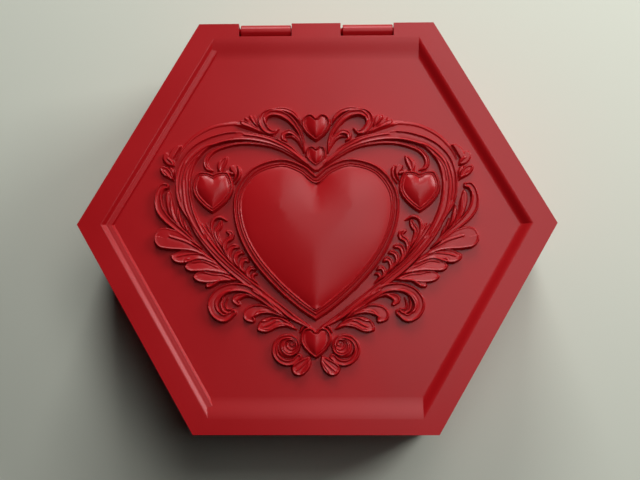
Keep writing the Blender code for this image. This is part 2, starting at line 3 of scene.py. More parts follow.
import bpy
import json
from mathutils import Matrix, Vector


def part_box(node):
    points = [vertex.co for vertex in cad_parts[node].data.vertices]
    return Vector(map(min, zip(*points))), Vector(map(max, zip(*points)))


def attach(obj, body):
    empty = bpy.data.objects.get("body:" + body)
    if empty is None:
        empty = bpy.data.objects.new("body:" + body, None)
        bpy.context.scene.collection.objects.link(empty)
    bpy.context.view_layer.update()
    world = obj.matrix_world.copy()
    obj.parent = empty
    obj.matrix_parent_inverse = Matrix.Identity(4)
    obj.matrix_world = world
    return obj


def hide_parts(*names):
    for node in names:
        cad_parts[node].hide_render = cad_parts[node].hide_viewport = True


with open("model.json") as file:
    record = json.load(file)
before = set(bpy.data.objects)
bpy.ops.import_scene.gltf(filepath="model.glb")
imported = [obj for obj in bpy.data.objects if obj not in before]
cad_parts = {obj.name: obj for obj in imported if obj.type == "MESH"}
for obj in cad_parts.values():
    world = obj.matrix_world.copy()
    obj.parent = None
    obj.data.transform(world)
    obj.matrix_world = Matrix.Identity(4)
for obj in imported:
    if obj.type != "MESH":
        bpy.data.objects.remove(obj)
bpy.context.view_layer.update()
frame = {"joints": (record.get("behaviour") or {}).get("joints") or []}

import json
import math

import bmesh
import bpy
import numpy as np
from mathutils import Vector
from mathutils.geometry import delaunay_2d_cdt

MM = 0.001

# Tub
# The real piece is one print in red PLA: six 3 mm walls on a 3 mm floor, with two hinge
# knuckles on short corbels at the back. Its edges are softened by a fraction of a millimetre,
# and the corbels stay flush with the wall.

COS_30 = math.cos(math.radians(30))
CORNER_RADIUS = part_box("box_body")[1].x / MM
APOTHEM = CORNER_RADIUS * COS_30
RIM_HEIGHT = 60.0
LID_THICKNESS = 5.0
WALL = 3.0
GAP = 0.3
FOOT_CHAMFER = 0.8
WALL_RELIEF = 1.0
KNUCKLE_RADIUS = 2.44
KNUCKLE_WRAP = 225
KNUCKLE_STEPS = 40
KNUCKLE_SPANS = ((-29.0, -9.75), (10.2, 29.4))
NOTCH_SPANS = ((-29.65, -9.4), (9.4, 29.75))
CORBEL_DEPTH = 5.0
CORBEL_INSET = 0.005
PIVOT_RADIUS = 1.45
PIVOT_TIP_RADIUS = 0.75
PIVOT_DEPTH = 1.2
PIVOT_ROOT = 0.5
PIVOT_SIDES = 24
EDGE_SOFTNESS = 0.3
SHARP_ANGLE = 75
CUT_MARGIN = 2.0
SAME_PLACE = 0.001

HINGE = Vector(frame["joints"][0]["pos_m"]) / MM
LID_UNDERSIDE = RIM_HEIGHT - LID_THICKNESS
WALL_TOP = LID_UNDERSIDE - GAP


def hexagon(apothem, reach=None, right_apothem=None):
    """Corners of a hexagon from the +X corner round. Its sides are apothem from the middle. For
    the two sides square to Y reach takes its place, and for the two slanting ones at +X
    right_apothem, where these are given."""
    reach, right_apothem = reach or apothem, right_apothem or apothem
    left, left_shoulder = apothem / COS_30, (apothem - reach / 2) / COS_30
    right, right_shoulder = right_apothem / COS_30, (right_apothem - reach / 2) / COS_30
    return [(right, 0), (right_shoulder, reach), (-left_shoulder, reach), (-left, 0),
            (-left_shoulder, -reach), (right_shoulder, -reach)]


def put_in_scene(name, data):
    """A new object in the scene."""
    thing = bpy.data.objects.new(name, data)
    bpy.context.scene.collection.objects.link(thing)
    return thing


def printed_piece(name, bm):
    """A new object from a bmesh in millimetres, with its faces turned out."""
    bmesh.ops.recalc_face_normals(bm, faces=bm.faces)
    bmesh.ops.scale(bm, vec=(MM, MM, MM), verts=bm.verts)
    mesh = bpy.data.meshes.new(name)
    bm.to_mesh(mesh)
    bm.free()
    return put_in_scene(name, mesh)


def hexagonal_rings(sections):
    """Six-sided faces through sections of (apothem, height), or of (left apothem, reach, right
    apothem, height)."""
    bm = bmesh.new()
    rings = [[bm.verts.new((x, y, z)) for x, y in hexagon(*size)] for *size, z in sections]
    for lower, upper in zip(rings, rings[1:]):
        for i in range(6):
            j = (i + 1) % 6
            bm.faces.new((lower[i], lower[j], upper[j], upper[i]))
    bm.faces.new(rings[0])
    bm.faces.new(rings[-1])
    return bm


def hinge_arc(radius, first_turn, last_turn, steps):
    """Points of a circle round the hinge axis as (y, z). A turn of 0 points to the back."""
    turns = np.radians(np.linspace(first_turn, last_turn, steps + 1))
    return [(HINGE.y + radius * math.cos(t), HINGE.z + radius * math.sin(t)) for t in turns]


def hinge_circle(radius):
    """Points of a whole circle round the hinge axis."""
    step = 360 / PIVOT_SIDES
    return hinge_arc(radius, 0, 360 - step, PIVOT_SIDES - 1)


def bar_along_x(outline, x_low, x_high, grow=1.0):
    """A bar from an outline of (y, z) points. grow scales its far end about the hinge axis."""
    bm = bmesh.new()
    near = [bm.verts.new((x_low, y, z)) for y, z in outline]
    far = []
    for y, z in outline:
        far_y, far_z = HINGE.y + (y - HINGE.y) * grow, HINGE.z + (z - HINGE.z) * grow
        far.append(bm.verts.new((x_high, far_y, far_z)))
    for i in range(len(outline)):
        j = (i + 1) % len(outline)
        bm.faces.new((near[i], near[j], far[j], far[i]))
    bm.faces.new(near)
    bm.faces.new(far)
    return printed_piece("tool", bm)


def cut_or_join(piece, tool, operation):
    """Adds a Boolean and hides its tool."""
    tool.hide_render = True
    change = piece.modifiers.new(operation.lower(), "BOOLEAN")
    change.operation = operation
    change.object = tool


def soften_edges(piece, width, angle):
    """A narrow rounded bevel on every edge sharper than the angle."""
    bevel = piece.modifiers.new("soft_edges", "BEVEL")
    bevel.width = width * MM
    bevel.segments = 2
    bevel.angle_limit = math.radians(angle)
    bevel.use_clamp_overlap = True


def applied(piece):
    """Gives the piece the mesh that its modifiers make, and deletes their tools."""
    graph = bpy.context.evaluated_depsgraph_get()
    mesh = bpy.data.meshes.new_from_object(piece.evaluated_get(graph))
    tools = [m.object for m in piece.modifiers if m.type == "BOOLEAN"]
    piece.modifiers.clear()
    piece.data = mesh
    for tool in tools:
        bpy.data.objects.remove(tool)


def weld(piece):
    """Merges corners that lie on one another, so that the bevel leaves no face without area."""
    bm = bmesh.new()
    bm.from_mesh(piece.data)
    bmesh.ops.remove_doubles(bm, verts=bm.verts, dist=SAME_PLACE * MM)
    bm.to_mesh(piece.data)
    bm.free()


def shade(piece):
    """Smooth shading that leaves flat faces flat, because each normal follows the largest faces."""
    piece.data.shade_smooth()
    piece.data.set_sharp_from_angle(angle=math.radians(SHARP_ANGLE))
    normals = piece.modifiers.new("flat_stays_flat", "WEIGHTED_NORMAL")
    normals.keep_sharp = True
    applied(piece)


def pivots():
    """Knuckle end, ear face and direction along X of each of the four cone pivots."""
    found = []
    for knuckle, notch in zip(KNUCKLE_SPANS, NOTCH_SPANS):
        found += [(knuckle[0], notch[0], -1), (knuckle[1], notch[1], 1)]
    return found


tub = printed_piece("printed_tub", hexagonal_rings((
    (APOTHEM - WALL, WALL),
    (APOTHEM - WALL, WALL_TOP),
    (APOTHEM, WALL_TOP),
    (APOTHEM, FOOT_CHAMFER),
    (APOTHEM - FOOT_CHAMFER, 0),
)))

# The back wall's outer top edge is cut at a slant, so that the open lid's back edge clears it.
relief_start, relief_end = APOTHEM - WALL_RELIEF, WALL_TOP - WALL_RELIEF
above, beyond = WALL_TOP + CUT_MARGIN, APOTHEM + CUT_MARGIN
wall_relief = [(relief_start, WALL_TOP), (APOTHEM, relief_end), (beyond, relief_end)]
wall_relief += [(beyond, above), (relief_start, above)]
cut_or_join(tub, bar_along_x(wall_relief, -CORNER_RADIUS, CORNER_RADIUS), "DIFFERENCE")

# The knuckles grow out of slanting corbels, and their cone pivots reach into the lid's ears.
corbel_foot = HINGE.z - CORBEL_DEPTH
knuckle = hinge_arc(KNUCKLE_RADIUS, 0, KNUCKLE_WRAP, KNUCKLE_STEPS)
knuckle += [(APOTHEM - WALL + CORBEL_INSET, corbel_foot), (APOTHEM - CORBEL_INSET, corbel_foot)]
for span in KNUCKLE_SPANS:
    cut_or_join(tub, bar_along_x(knuckle, *span), "UNION")
for knuckle_end, ear_face, out in pivots():
    start, tip = knuckle_end - out * PIVOT_ROOT, ear_face + out * PIVOT_DEPTH
    shrink = PIVOT_TIP_RADIUS / PIVOT_RADIUS
    cut_or_join(tub, bar_along_x(hinge_circle(PIVOT_RADIUS), start, tip, shrink), "UNION")
soften_edges(tub, EDGE_SOFTNESS, angle=40)
applied(tub)
weld(tub)
for vert in tub.data.vertices:
    vert.co.y = min(vert.co.y, APOTHEM * MM)
shade(tub)

# The plastic is a satin red PLA. The walls were built up in 0.2 mm layers, which show as faint
# level lines, drawn twice as coarse here so that they show at all. Blender's wave texture draws
# 20 waves over a length of 2 pi at a scale of 1.

LAYER_LINES = 0.4
LAYER_RELIEF = 0.04
REDS = ("#A50F15", "#AC1017")
ROUGHNESS_RANGE = (0.29, 0.33)
CLOUD_SIZE = 35.714
CLOUD_RANGE = (0.3, 0.7)
WAVES_AT_SCALE_1 = 20 / (2 * math.pi)


def linear(hex_colour):
    """An sRGB hex colour as linear red, green, blue and alpha."""
    channels = [int(hex_colour[i : i + 2], 16) / 255 for i in (1, 3, 5)]
    return [c / 12.92 if c <= 0.04045 else ((c + 0.055) / 1.055) ** 2.4 for c in channels] + [1.0]


def add_node(tree, kind, settings=(), links=()):
    """Adds a node, sets its inputs or properties by name, and links sockets to its inputs."""
    node = tree.nodes.new(kind)
    for name, value in dict(settings).items():
        if name in node.inputs:
            node.inputs[name].default_value = value
        else:
            setattr(node, name, value)
    for name, socket in dict(links).items():
        tree.links.new(socket, node.inputs[name])
    return node


def satin_red_pla(name):
    """Dyed-through PLA: the red hardly varies, and the satin roughness wanders a little."""
    material = bpy.data.materials.new(name)
    material.use_nodes = True
    tree = material.node_tree
    shader = tree.nodes["Principled BSDF"]
    for key, value in (("IOR", 1.46), ("Specular IOR Level", 0.38), ("Metallic", 0.0)):
        shader.inputs[key].default_value = value
    place = add_node(tree, "ShaderNodeTexCoord").outputs["Object"]
    size = {"Scale": 1 / (CLOUD_SIZE * MM), "Detail": 3.0}
    clouds = add_node(tree, "ShaderNodeTexNoise", size, {"Vector": place})
    tint = add_node(tree, "ShaderNodeValToRGB", links={"Fac": clouds.outputs["Fac"]})
    for stop, position, colour in zip(tint.color_ramp.elements, CLOUD_RANGE, REDS):
        stop.position = position
        stop.color = linear(colour)
    ranges = zip(("From Min", "From Max", "To Min", "To Max"), CLOUD_RANGE + ROUGHNESS_RANGE)
    gloss = add_node(tree, "ShaderNodeMapRange", ranges, {"Value": clouds.outputs["Fac"]})
    tree.links.new(tint.outputs["Color"], shader.inputs["Base Color"])
    tree.links.new(gloss.outputs["Result"], shader.inputs["Roughness"])
    return material


walls_pla = satin_red_pla("satin_red_pla_layered")
tree = walls_pla.node_tree
place = add_node(tree, "ShaderNodeTexCoord").outputs["Object"]
waves = {"bands_direction": "Z", "Scale": 1 / (WAVES_AT_SCALE_1 * LAYER_LINES * MM)}
layers = add_node(tree, "ShaderNodeTexWave", waves, {"Vector": place}).outputs["Fac"]
relief = {"Strength": 0.25, "Distance": LAYER_RELIEF * MM}
ridges = add_node(tree, "ShaderNodeBump", relief, {"Height": layers}).outputs["Normal"]
tree.links.new(ridges, tree.nodes["Principled BSDF"].inputs["Normal"])
tub.data.materials.clear()
tub.data.materials.append(walls_pla)
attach(tub, "box")
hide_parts("box_body")

# Lid plate
# The lid is one print too: a 5 mm plate, notched at the back for the knuckles, with a panel
# 2 mm below its rim. The shoulder between them has two steps on the slanting sides at the left,
# one rounded step on those at the right, and one easy slope at the front and the back.

PANEL_APOTHEM = 66.0
PANEL_REACH = 64.2
PANEL_DEPTH = 2.0
SHOULDER_APOTHEM = 70.2
SHOULDER_REACH = 72.2
LEFT_STEPS = (
    (PANEL_APOTHEM, -PANEL_DEPTH), (66.8, -1.25), (68.4, -1.1), (SHOULDER_APOTHEM, 0.0))
STEP_SECTIONS = 7
EAR_ROUND_STEPS = 12
NOTCH_CLEARANCE = 0.16
PIVOT_CLEARANCE = 0.3
PANEL_HEIGHT = RIM_HEIGHT - PANEL_DEPTH


def ease(t):
    """A share of 0 to 1 that starts and ends level."""
    return t * t * (3 - 2 * t)


def where_eased(share):
    """The value of t at which ease(t) is this share."""
    return 0.5 - math.sin(math.asin(1 - 2 * share) / 3)


def shoulder_sections():
    """Left apothem, reach, right apothem and height of the shoulder's edges, from the rim down
    to the panel. It is eased from each of LEFT_STEPS to the next at the left, and as one
    curve of the same depth on the other sides."""
    sections = []
    for (low_place, low), (high_place, high) in zip(LEFT_STEPS, LEFT_STEPS[1:]):
        for t in np.linspace(0, 1, STEP_SECTIONS)[1 if sections else 0 :]:
            drop = low + (high - low) * ease(t)
            along = where_eased(1 + drop / PANEL_DEPTH)
            left = low_place + (high_place - low_place) * t
            reach = PANEL_REACH + (SHOULDER_REACH - PANEL_REACH) * along
            right = PANEL_APOTHEM + (SHOULDER_APOTHEM - PANEL_APOTHEM) * along
            sections.append((left, reach, right, RIM_HEIGHT + drop))
    return sections[::-1]


lid = printed_piece("carved_lid", hexagonal_rings([
    (APOTHEM, LID_UNDERSIDE),
    (APOTHEM, RIM_HEIGHT),
    *shoulder_sections(),
]))

# The ears are rounded below the hinge axis. Notches take the knuckles, and sockets the pivots.
below, above = LID_UNDERSIDE - CUT_MARGIN, RIM_HEIGHT + CUT_MARGIN
ear_round = [(HINGE.y, below), (HINGE.y, LID_UNDERSIDE)]
ear_round += hinge_arc(KNUCKLE_RADIUS, -90, 0, EAR_ROUND_STEPS)
ear_round += [(beyond, HINGE.z), (beyond, below)]
cut_or_join(lid, bar_along_x(ear_round, -CORNER_RADIUS, CORNER_RADIUS), "DIFFERENCE")
front = HINGE.y - KNUCKLE_RADIUS - NOTCH_CLEARANCE
notch = [(front, below), (beyond, below), (beyond, above), (front, above)]
for span in NOTCH_SPANS:
    cut_or_join(lid, bar_along_x(notch, *span), "DIFFERENCE")
taper = (PIVOT_RADIUS - PIVOT_TIP_RADIUS) / PIVOT_DEPTH
mouth_radius = PIVOT_RADIUS + PIVOT_CLEARANCE + PIVOT_ROOT * taper
end_radius = PIVOT_TIP_RADIUS + PIVOT_CLEARANCE * (1 - taper)
for _, ear_face, out in pivots():
    start, end = ear_face - out * PIVOT_ROOT, ear_face + out * (PIVOT_DEPTH + PIVOT_CLEARANCE)
    shrink = end_radius / mouth_radius
    cut_or_join(lid, bar_along_x(hinge_circle(mouth_radius), start, end, shrink), "DIFFERENCE")
soften_edges(lid, EDGE_SOFTNESS, angle=45)
applied(lid)
weld(lid)

# Carving
# The relief is printed in one with the panel: bands, leaves and scrolls that follow a curved
# spine, fine raised lines on them, and framed hearts with a domed middle. It is drawn on the
# left and mirrored.

LEAF_STEPS = 8
LEAF_FULLNESS = 0.8
STEPS_PER_TURN = 12


def leaf(root, tip, bow, half_width, belly=0.6, end=0.35):
    """Spine of a leaf. bow is how far its middle bends to the left of the way to the tip,
    belly the share of its length where it is widest, and end its half width at both ends."""
    (x0, y0), (x1, y1) = root, tip
    length = math.hypot(x1 - x0, y1 - y0)
    power = math.log(0.5) / math.log(belly)
    spine = []
    for t in np.linspace(0, 1, LEAF_STEPS + 1):
        side = 4 * bow * t * (1 - t) / length
        x = x0 + (x1 - x0) * t - (y1 - y0) * side
        y = y0 + (y1 - y0) * t + (x1 - x0) * side
        width = end + (half_width - end) * math.sin(math.pi * t**power) ** LEAF_FULLNESS
        spine.append((x, y, width))
    return spine


def scroll(start, end, first_angle, turns):
    """Spine of a spiral. start and end are each (centre x, centre y, radius, half width)."""
    spine = []
    for k in np.linspace(0, 1, round(STEPS_PER_TURN * turns) + 1):
        x, y, radius, width = (a + (b - a) * k for a, b in zip(start, end))
        angle = math.radians(first_angle) + 2 * math.pi * turns * k
        spine.append((x + radius * math.cos(angle), y + radius * math.sin(angle), width))
    return spine


# Bands: name, height above the panel, depth of the hollow between the rims along its edges, and
# the spine as (x, y, half width) in millimetres from the lid's middle.
CARVED_BANDS = (
    ("frame", 2.2, 0.2, [
        (-2.6, -38.6, 0.8), (-11.2, -33.1, 1.5), (-22.4, -24.5, 1.7), (-34, -14.8, 1.8),
        (-42.7, -4.4, 2), (-46.5, 2.4, 2), (-49.4, 8.5, 2.8), (-50.3, 15, 3), (-49.8, 20, 3),
        (-47.3, 25.8, 2.8), (-41.1, 31.3, 2.2), (-31, 33.8, 2), (-21, 32.9, 1.8),
        (-12, 29.8, 1.7), (-3, 23, 0.8)]),
    ("inner_strip", 1.7, 0.39, [
        (-2.6, 22.2, 0.6), (-14, 29, 0.8), (-23, 31, 0.8), (-30, 31, 0.8), (-36, 29.6, 0.9),
        (-39.8, 27.6, 1), (-41.8, 24.5, 1.1), (-41.3, 21.6, 0.9), (-39, 20.5, 0.5)]),
    ("outer_swell", 0.4, 0, [
        (-21, 38.4, 0.5), (-31, 38.9, 0.7), (-39, 37.8, 0.7), (-46, 34.2, 0.7), (-51, 29, 0.6),
        (-53, 25, 0.4)]),
    ("throat_foot", 1.9, 0, [(-5.5, 25.6, 0.6), (-3, 23.6, 1.3), (-0.2, 21.6, 1.6)]),
    ("top_crest", 2.2, 0.33, [
        (-5.9, 38.2, 0.3), (-7.2, 41, 0.9), (-9.6, 43.2, 1.1), (-12.8, 44.2, 1.1),
        (-16.4, 44, 0.9), (-19.6, 43, 0.7)]),
    ("top_scroll", 2.5, 0.59, [
        (-4.6, 27.6, 0.5), (-4.9, 31, 0.8), (-6, 34.6, 1), (-7.8, 37.8, 1.2), (-10.3, 40.6, 1.4),
        (-13.4, 42.4, 1.5), (-16.8, 43, 1.7), (-19.6, 41.8, 1.8), (-20.4, 39, 1.7),
        (-18.8, 36.2, 1.5), (-16.3, 35.2, 1.1), (-14.3, 36.6, 0.5)]),
    ("top_leaf", 2, 0.39, [
        (-4.9, 28.2, 0.4), (-6.4, 32.6, 0.9), (-9.6, 35.4, 1.1), (-12.1, 34.8, 1.1),
        (-12.5, 32.9, 0.9), (-11.4, 32, 0.6)]),
    ("top_tendril", 1.8, 0, [
        (-5.4, 29.2, 0.4), (-6.8, 31.9, 0.7), (-9, 33.6, 0.7), (-11.2, 33.4, 0.4)]),
    ("sprig_1", 1.6, 0, leaf((-20.4, 35.4), (-28.6, 39.8), 0.3, 1.3, 0.8, 0.6)),
    ("sprig_2", 1.6, 0, leaf((-20.8, 35.8), (-27.1, 41.1), 0.2, 0.95, 0.72)),
    ("sprig_3", 1.7, 0, leaf((-21.2, 36.2), (-25.3, 41.9), 0.1, 0.95, 0.72)),
    ("sprig_4", 1.7, 0, leaf((-21.5, 36.6), (-23.7, 41.9), 0.1, 1.05, 0.72)),
    ("sprig_root", 1.1, 0, leaf((-15, 33.4), (-31.5, 38.6), -0.8, 1.2, 0.45, 0.2)),
    ("bud_body", 1.6, 0, [
        (-54, 22.6, 0.5), (-55.6, 24.2, 1.7), (-56.6, 25.6, 1.8), (-57, 26.6, 1.3)]),
    ("bud_lobe", 1.7, 0, [
        (-55.4, 25, 1.2), (-54.4, 27.2, 1.4), (-53.2, 28.9, 1.2), (-52.2, 29.8, 0.9),
        (-51.4, 30.1, 0.5)]),
    ("pointed_leaf", 1.8, 0.33, leaf((-53.9, 16.8), (-58.9, 21.9), -0.35, 1.8, 0.62)),
    ("pointed_leaf_side", 1.7, 0, leaf((-53.9, 17.8), (-55.6, 22), -0.6, 0.9, 0.6)),
    ("hook_leaf", 2.4, 0.59, [
        (-43, -9, 0.4), (-46.5, -6, 0.9), (-50, -3.1, 1.3), (-53.5, -0.3, 1.5),
        (-56.7, 2.7, 1.7), (-58.9, 6, 1.8), (-59.6, 9.9, 1.6), (-59, 12.8, 1.5),
        (-57.8, 14.4, 1.5), (-56.6, 14.6, 1.3)]),
    ("pod_1", 2.2, 0, [
        (-49.4, -2.6, 0.4), (-52.2, 0.6, 0.9), (-54.2, 4.2, 1.3), (-55.2, 8, 1.5),
        (-55.7, 10.8, 1.2), (-55.5, 12.6, 0.5)]),
    ("pod_2", 2.2, 0, [
        (-48.6, -2.8, 0.3), (-50.6, 0.2, 0.8), (-51.8, 3.6, 1), (-52.1, 6.9, 0.4)]),
    ("pod_3", 2, 0, [(-47.6, -3.8, 0.3), (-49, -0.7, 0.7), (-49.8, 2, 0.4)]),
    ("pod_4", 2, 0, [(-46.2, -5.4, 0.3), (-47.6, -2.8, 0.6), (-48.1, -0.9, 0.3)]),
    ("round_leaf", 2.4, 0.2, [
        (-39.5, -12.6, 0.4), (-43, -10.6, 1), (-46.5, -8.8, 1.7), (-50, -7.1, 3), (-53.6, -5.9, 4),
        (-56.7, -5.2, 4.3)]),
    ("lobe_1", 2.2, 0.26, [
        (-35, -16.6, 0.3), (-39.5, -13.4, 1.2), (-44, -11.8, 1.8), (-49.2, -12.2, 2.8),
        (-52, -12.5, 2.1), (-54, -11.9, 0.6)]),
    ("lobe_2", 2.2, 0.26, [
        (-31.5, -19.4, 0.3), (-35, -17.6, 1.2), (-39.5, -15.8, 2.3), (-44, -15.5, 2.6),
        (-46.8, -15.9, 2.1), (-48.8, -15.8, 0.6)]),
    ("lobe_3", 2.2, 0.26, [
        (-29, -21, 0.3), (-33, -20.3, 1.4), (-38, -19.9, 2.4), (-42, -19.8, 2.5), (-44, -19.7, 1.9),
        (-45.2, -19.7, 0.8)]),
    ("lobe_4", 2.2, 0.2, [
        (-35.5, -20.8, 0.8), (-38.5, -21.9, 1.7), (-40.2, -23, 1.2), (-40.8, -23.2, 0.6)]),
    ("lower_scroll", 2.5, 0.59, [
        (-10, -36.2, 0.4), (-16, -31.3, 1), (-20.5, -27.6, 1.4), (-26, -24.3, 1.7),
        (-31.5, -23.9, 1.9), (-36.2, -26.1, 2.1), (-38.3, -30, 2.2), (-37, -33.7, 2),
        (-33.8, -35.3, 1.7), (-30.7, -33.2, 1.4)]),
    ("lower_curl_1", 1.8, 0, [
        (-34.6, -27.4, 0.4), (-35.2, -30.2, 0.7), (-34.5, -32.4, 0.7), (-32.6, -33.5, 0.7)]),
    ("lower_curl_2", 1.6, 0, [
        (-32.8, -27.6, 0.3), (-33.7, -30, 0.5), (-33.1, -31.8, 0.5), (-31.4, -31.8, 0.5)]),
    ("small_hook", 1.9, 0.33, [
        (-17.5, -31.2, 0.4), (-21.5, -28, 0.8), (-25.5, -26.7, 0.8), (-28.6, -27.2, 1.4),
        (-30, -28.4, 1.5), (-28.8, -30.1, 0.9)]),
    ("lower_leaf_1", 2.4, 0.52, [
        (-12.2, -35, 0.4), (-16.5, -32.7, 1.2), (-20.5, -32, 2), (-24, -33, 2.5), (-25, -34.6, 2.1),
        (-23.6, -35.9, 1.3)]),
    ("lower_leaf_2", 2.2, 0.39, [
        (-7.2, -39.4, 0.4), (-11, -37.2, 1.4), (-15, -36.9, 2.3), (-18.3, -37.9, 2.8),
        (-20.4, -38.9, 1.6)]),
    ("volute", 2.4, 0.65, scroll((-9, -44.2, 0.6, 0.5), (-11, -46.9, 5.4, 1.4), 222, 2.3)),
    ("volute_bed", 1.4, 0, [(-9.2, -44.4, 3), (-10.4, -46, 4)]),
    ("petal", 2.2, 0.26, [
        (-2.4, -49.6, 0.6), (-3.6, -51.6, 2), (-5.2, -53.2, 2.8), (-6.2, -53.8, 2.9)]),
    ("crown", 1.9, 0, [
        (-5.9, -40.6, 0.4), (-4.8, -38.6, 0.7), (-3, -38, 0.6), (-1.6, -39, 0.3)]),
    ("spray_1", 1.9, 0, [
        (-33.4, -12.6, 0.4), (-36.2, -8.8, 0.6), (-38.3, -5, 0.6), (-39.3, -1.2, 0.7),
        (-38.6, 1.7, 0.8), (-36.2, 2.8, 0.8), (-33.6, 1.4, 0.4)]),
    ("spray_2", 1.9, 0.52, [
        (-34.6, -9.6, 0.3), (-36.7, -5.8, 0.9), (-37.5, -2.8, 1.1), (-36.3, -0.7, 1.2),
        (-35.7, 0.9, 0.9)]),
    ("spray_3", 2, 0.52, [
        (-33.2, -12.6, 0.3), (-34.3, -8.8, 0.9), (-33.7, -6.4, 1.1), (-31.9, -5, 1.2),
        (-31.8, -3.5, 1.1), (-33.3, -2.7, 0.7)]),
    ("spray_4", 1.8, 0.52, [
        (-30.4, -15.6, 0.4), (-32.5, -12.4, 1), (-32.3, -9.8, 1.2), (-31, -8.4, 1.2),
        (-29.2, -8.6, 0.7)]),
    ("spray_5", 1.9, 0.45, [
        (-28.4, -17.2, 0.3), (-30.2, -14, 0.9), (-29.8, -11.6, 1.1), (-28.2, -10.6, 1),
        (-27.3, -11, 0.6)]),
    ("spray_6", 1.9, 0.45, [
        (-26.2, -18.8, 0.3), (-28, -16.4, 0.9), (-27.7, -14.1, 1.1), (-26.4, -13.2, 1.1),
        (-25.4, -14, 0.7)]),
    ("spray_7", 1.9, 0.39, [
        (-23.4, -21.2, 0.3), (-25.4, -19.2, 0.9), (-25.2, -17.3, 1), (-24, -16.5, 1),
        (-22.8, -17.2, 0.6)]),
    ("spray_8", 1.7, 0, [
        (-21.6, -22.4, 0.3), (-23.7, -20.2, 0.7), (-23.2, -18.8, 0.8), (-22.1, -18.9, 0.5)]),
    ("blade_1", 1.4, 0, leaf((-35.4, -10.4), (-43, 0.2), 0.2, 0.8, 0.6)),
    ("blade_2", 1.4, 0, leaf((-35.4, -9.8), (-41.3, 0.2), 0.2, 0.8, 0.6)),
    ("blade_3", 1.4, 0, leaf((-35.6, -9), (-39.8, -2.2), 0.1, 0.7, 0.6)),
    ("heart_bud_1", 2, 0.39, leaf((-36.1, 19.8), (-33.9, 25.6), 0.5, 1.4, 0.55, 0.6)),
    ("heart_bud_left", 1.9, 0, leaf((-36.4, 19.8), (-36, 24.6), 0.5, 0.9, 0.6, 0.5)),
    ("heart_bud_2", 1.9, 0, [
        (-31.2, 16.6, 0.4), (-30.4, 19, 0.8), (-31.2, 21.2, 1.4), (-32.1, 21.8, 0.9)]),
    ("heart_bud_stem", 1.9, 0, [
        (-30.4, 15.6, 0.4), (-29, 18.4, 0.7), (-29, 20.8, 0.8), (-29.8, 22.4, 0.4)]),
    ("heart_bud_foot", 1.7, 0, [(-34, 20.2, 0.7), (-31.6, 19.4, 0.8)]),
)

# The lobes overlap like tiles: seen from its root, each is higher along its left edge and lower
# along its right edge by this share of its height.
TILED = {"round_leaf": 0.08, "lobe_1": 0.18, "lobe_2": 0.2, "lobe_3": 0.2, "lobe_4": 0.12,
         "lower_leaf_1": 0.08, "lower_leaf_2": 0.1, "petal": 0.1}

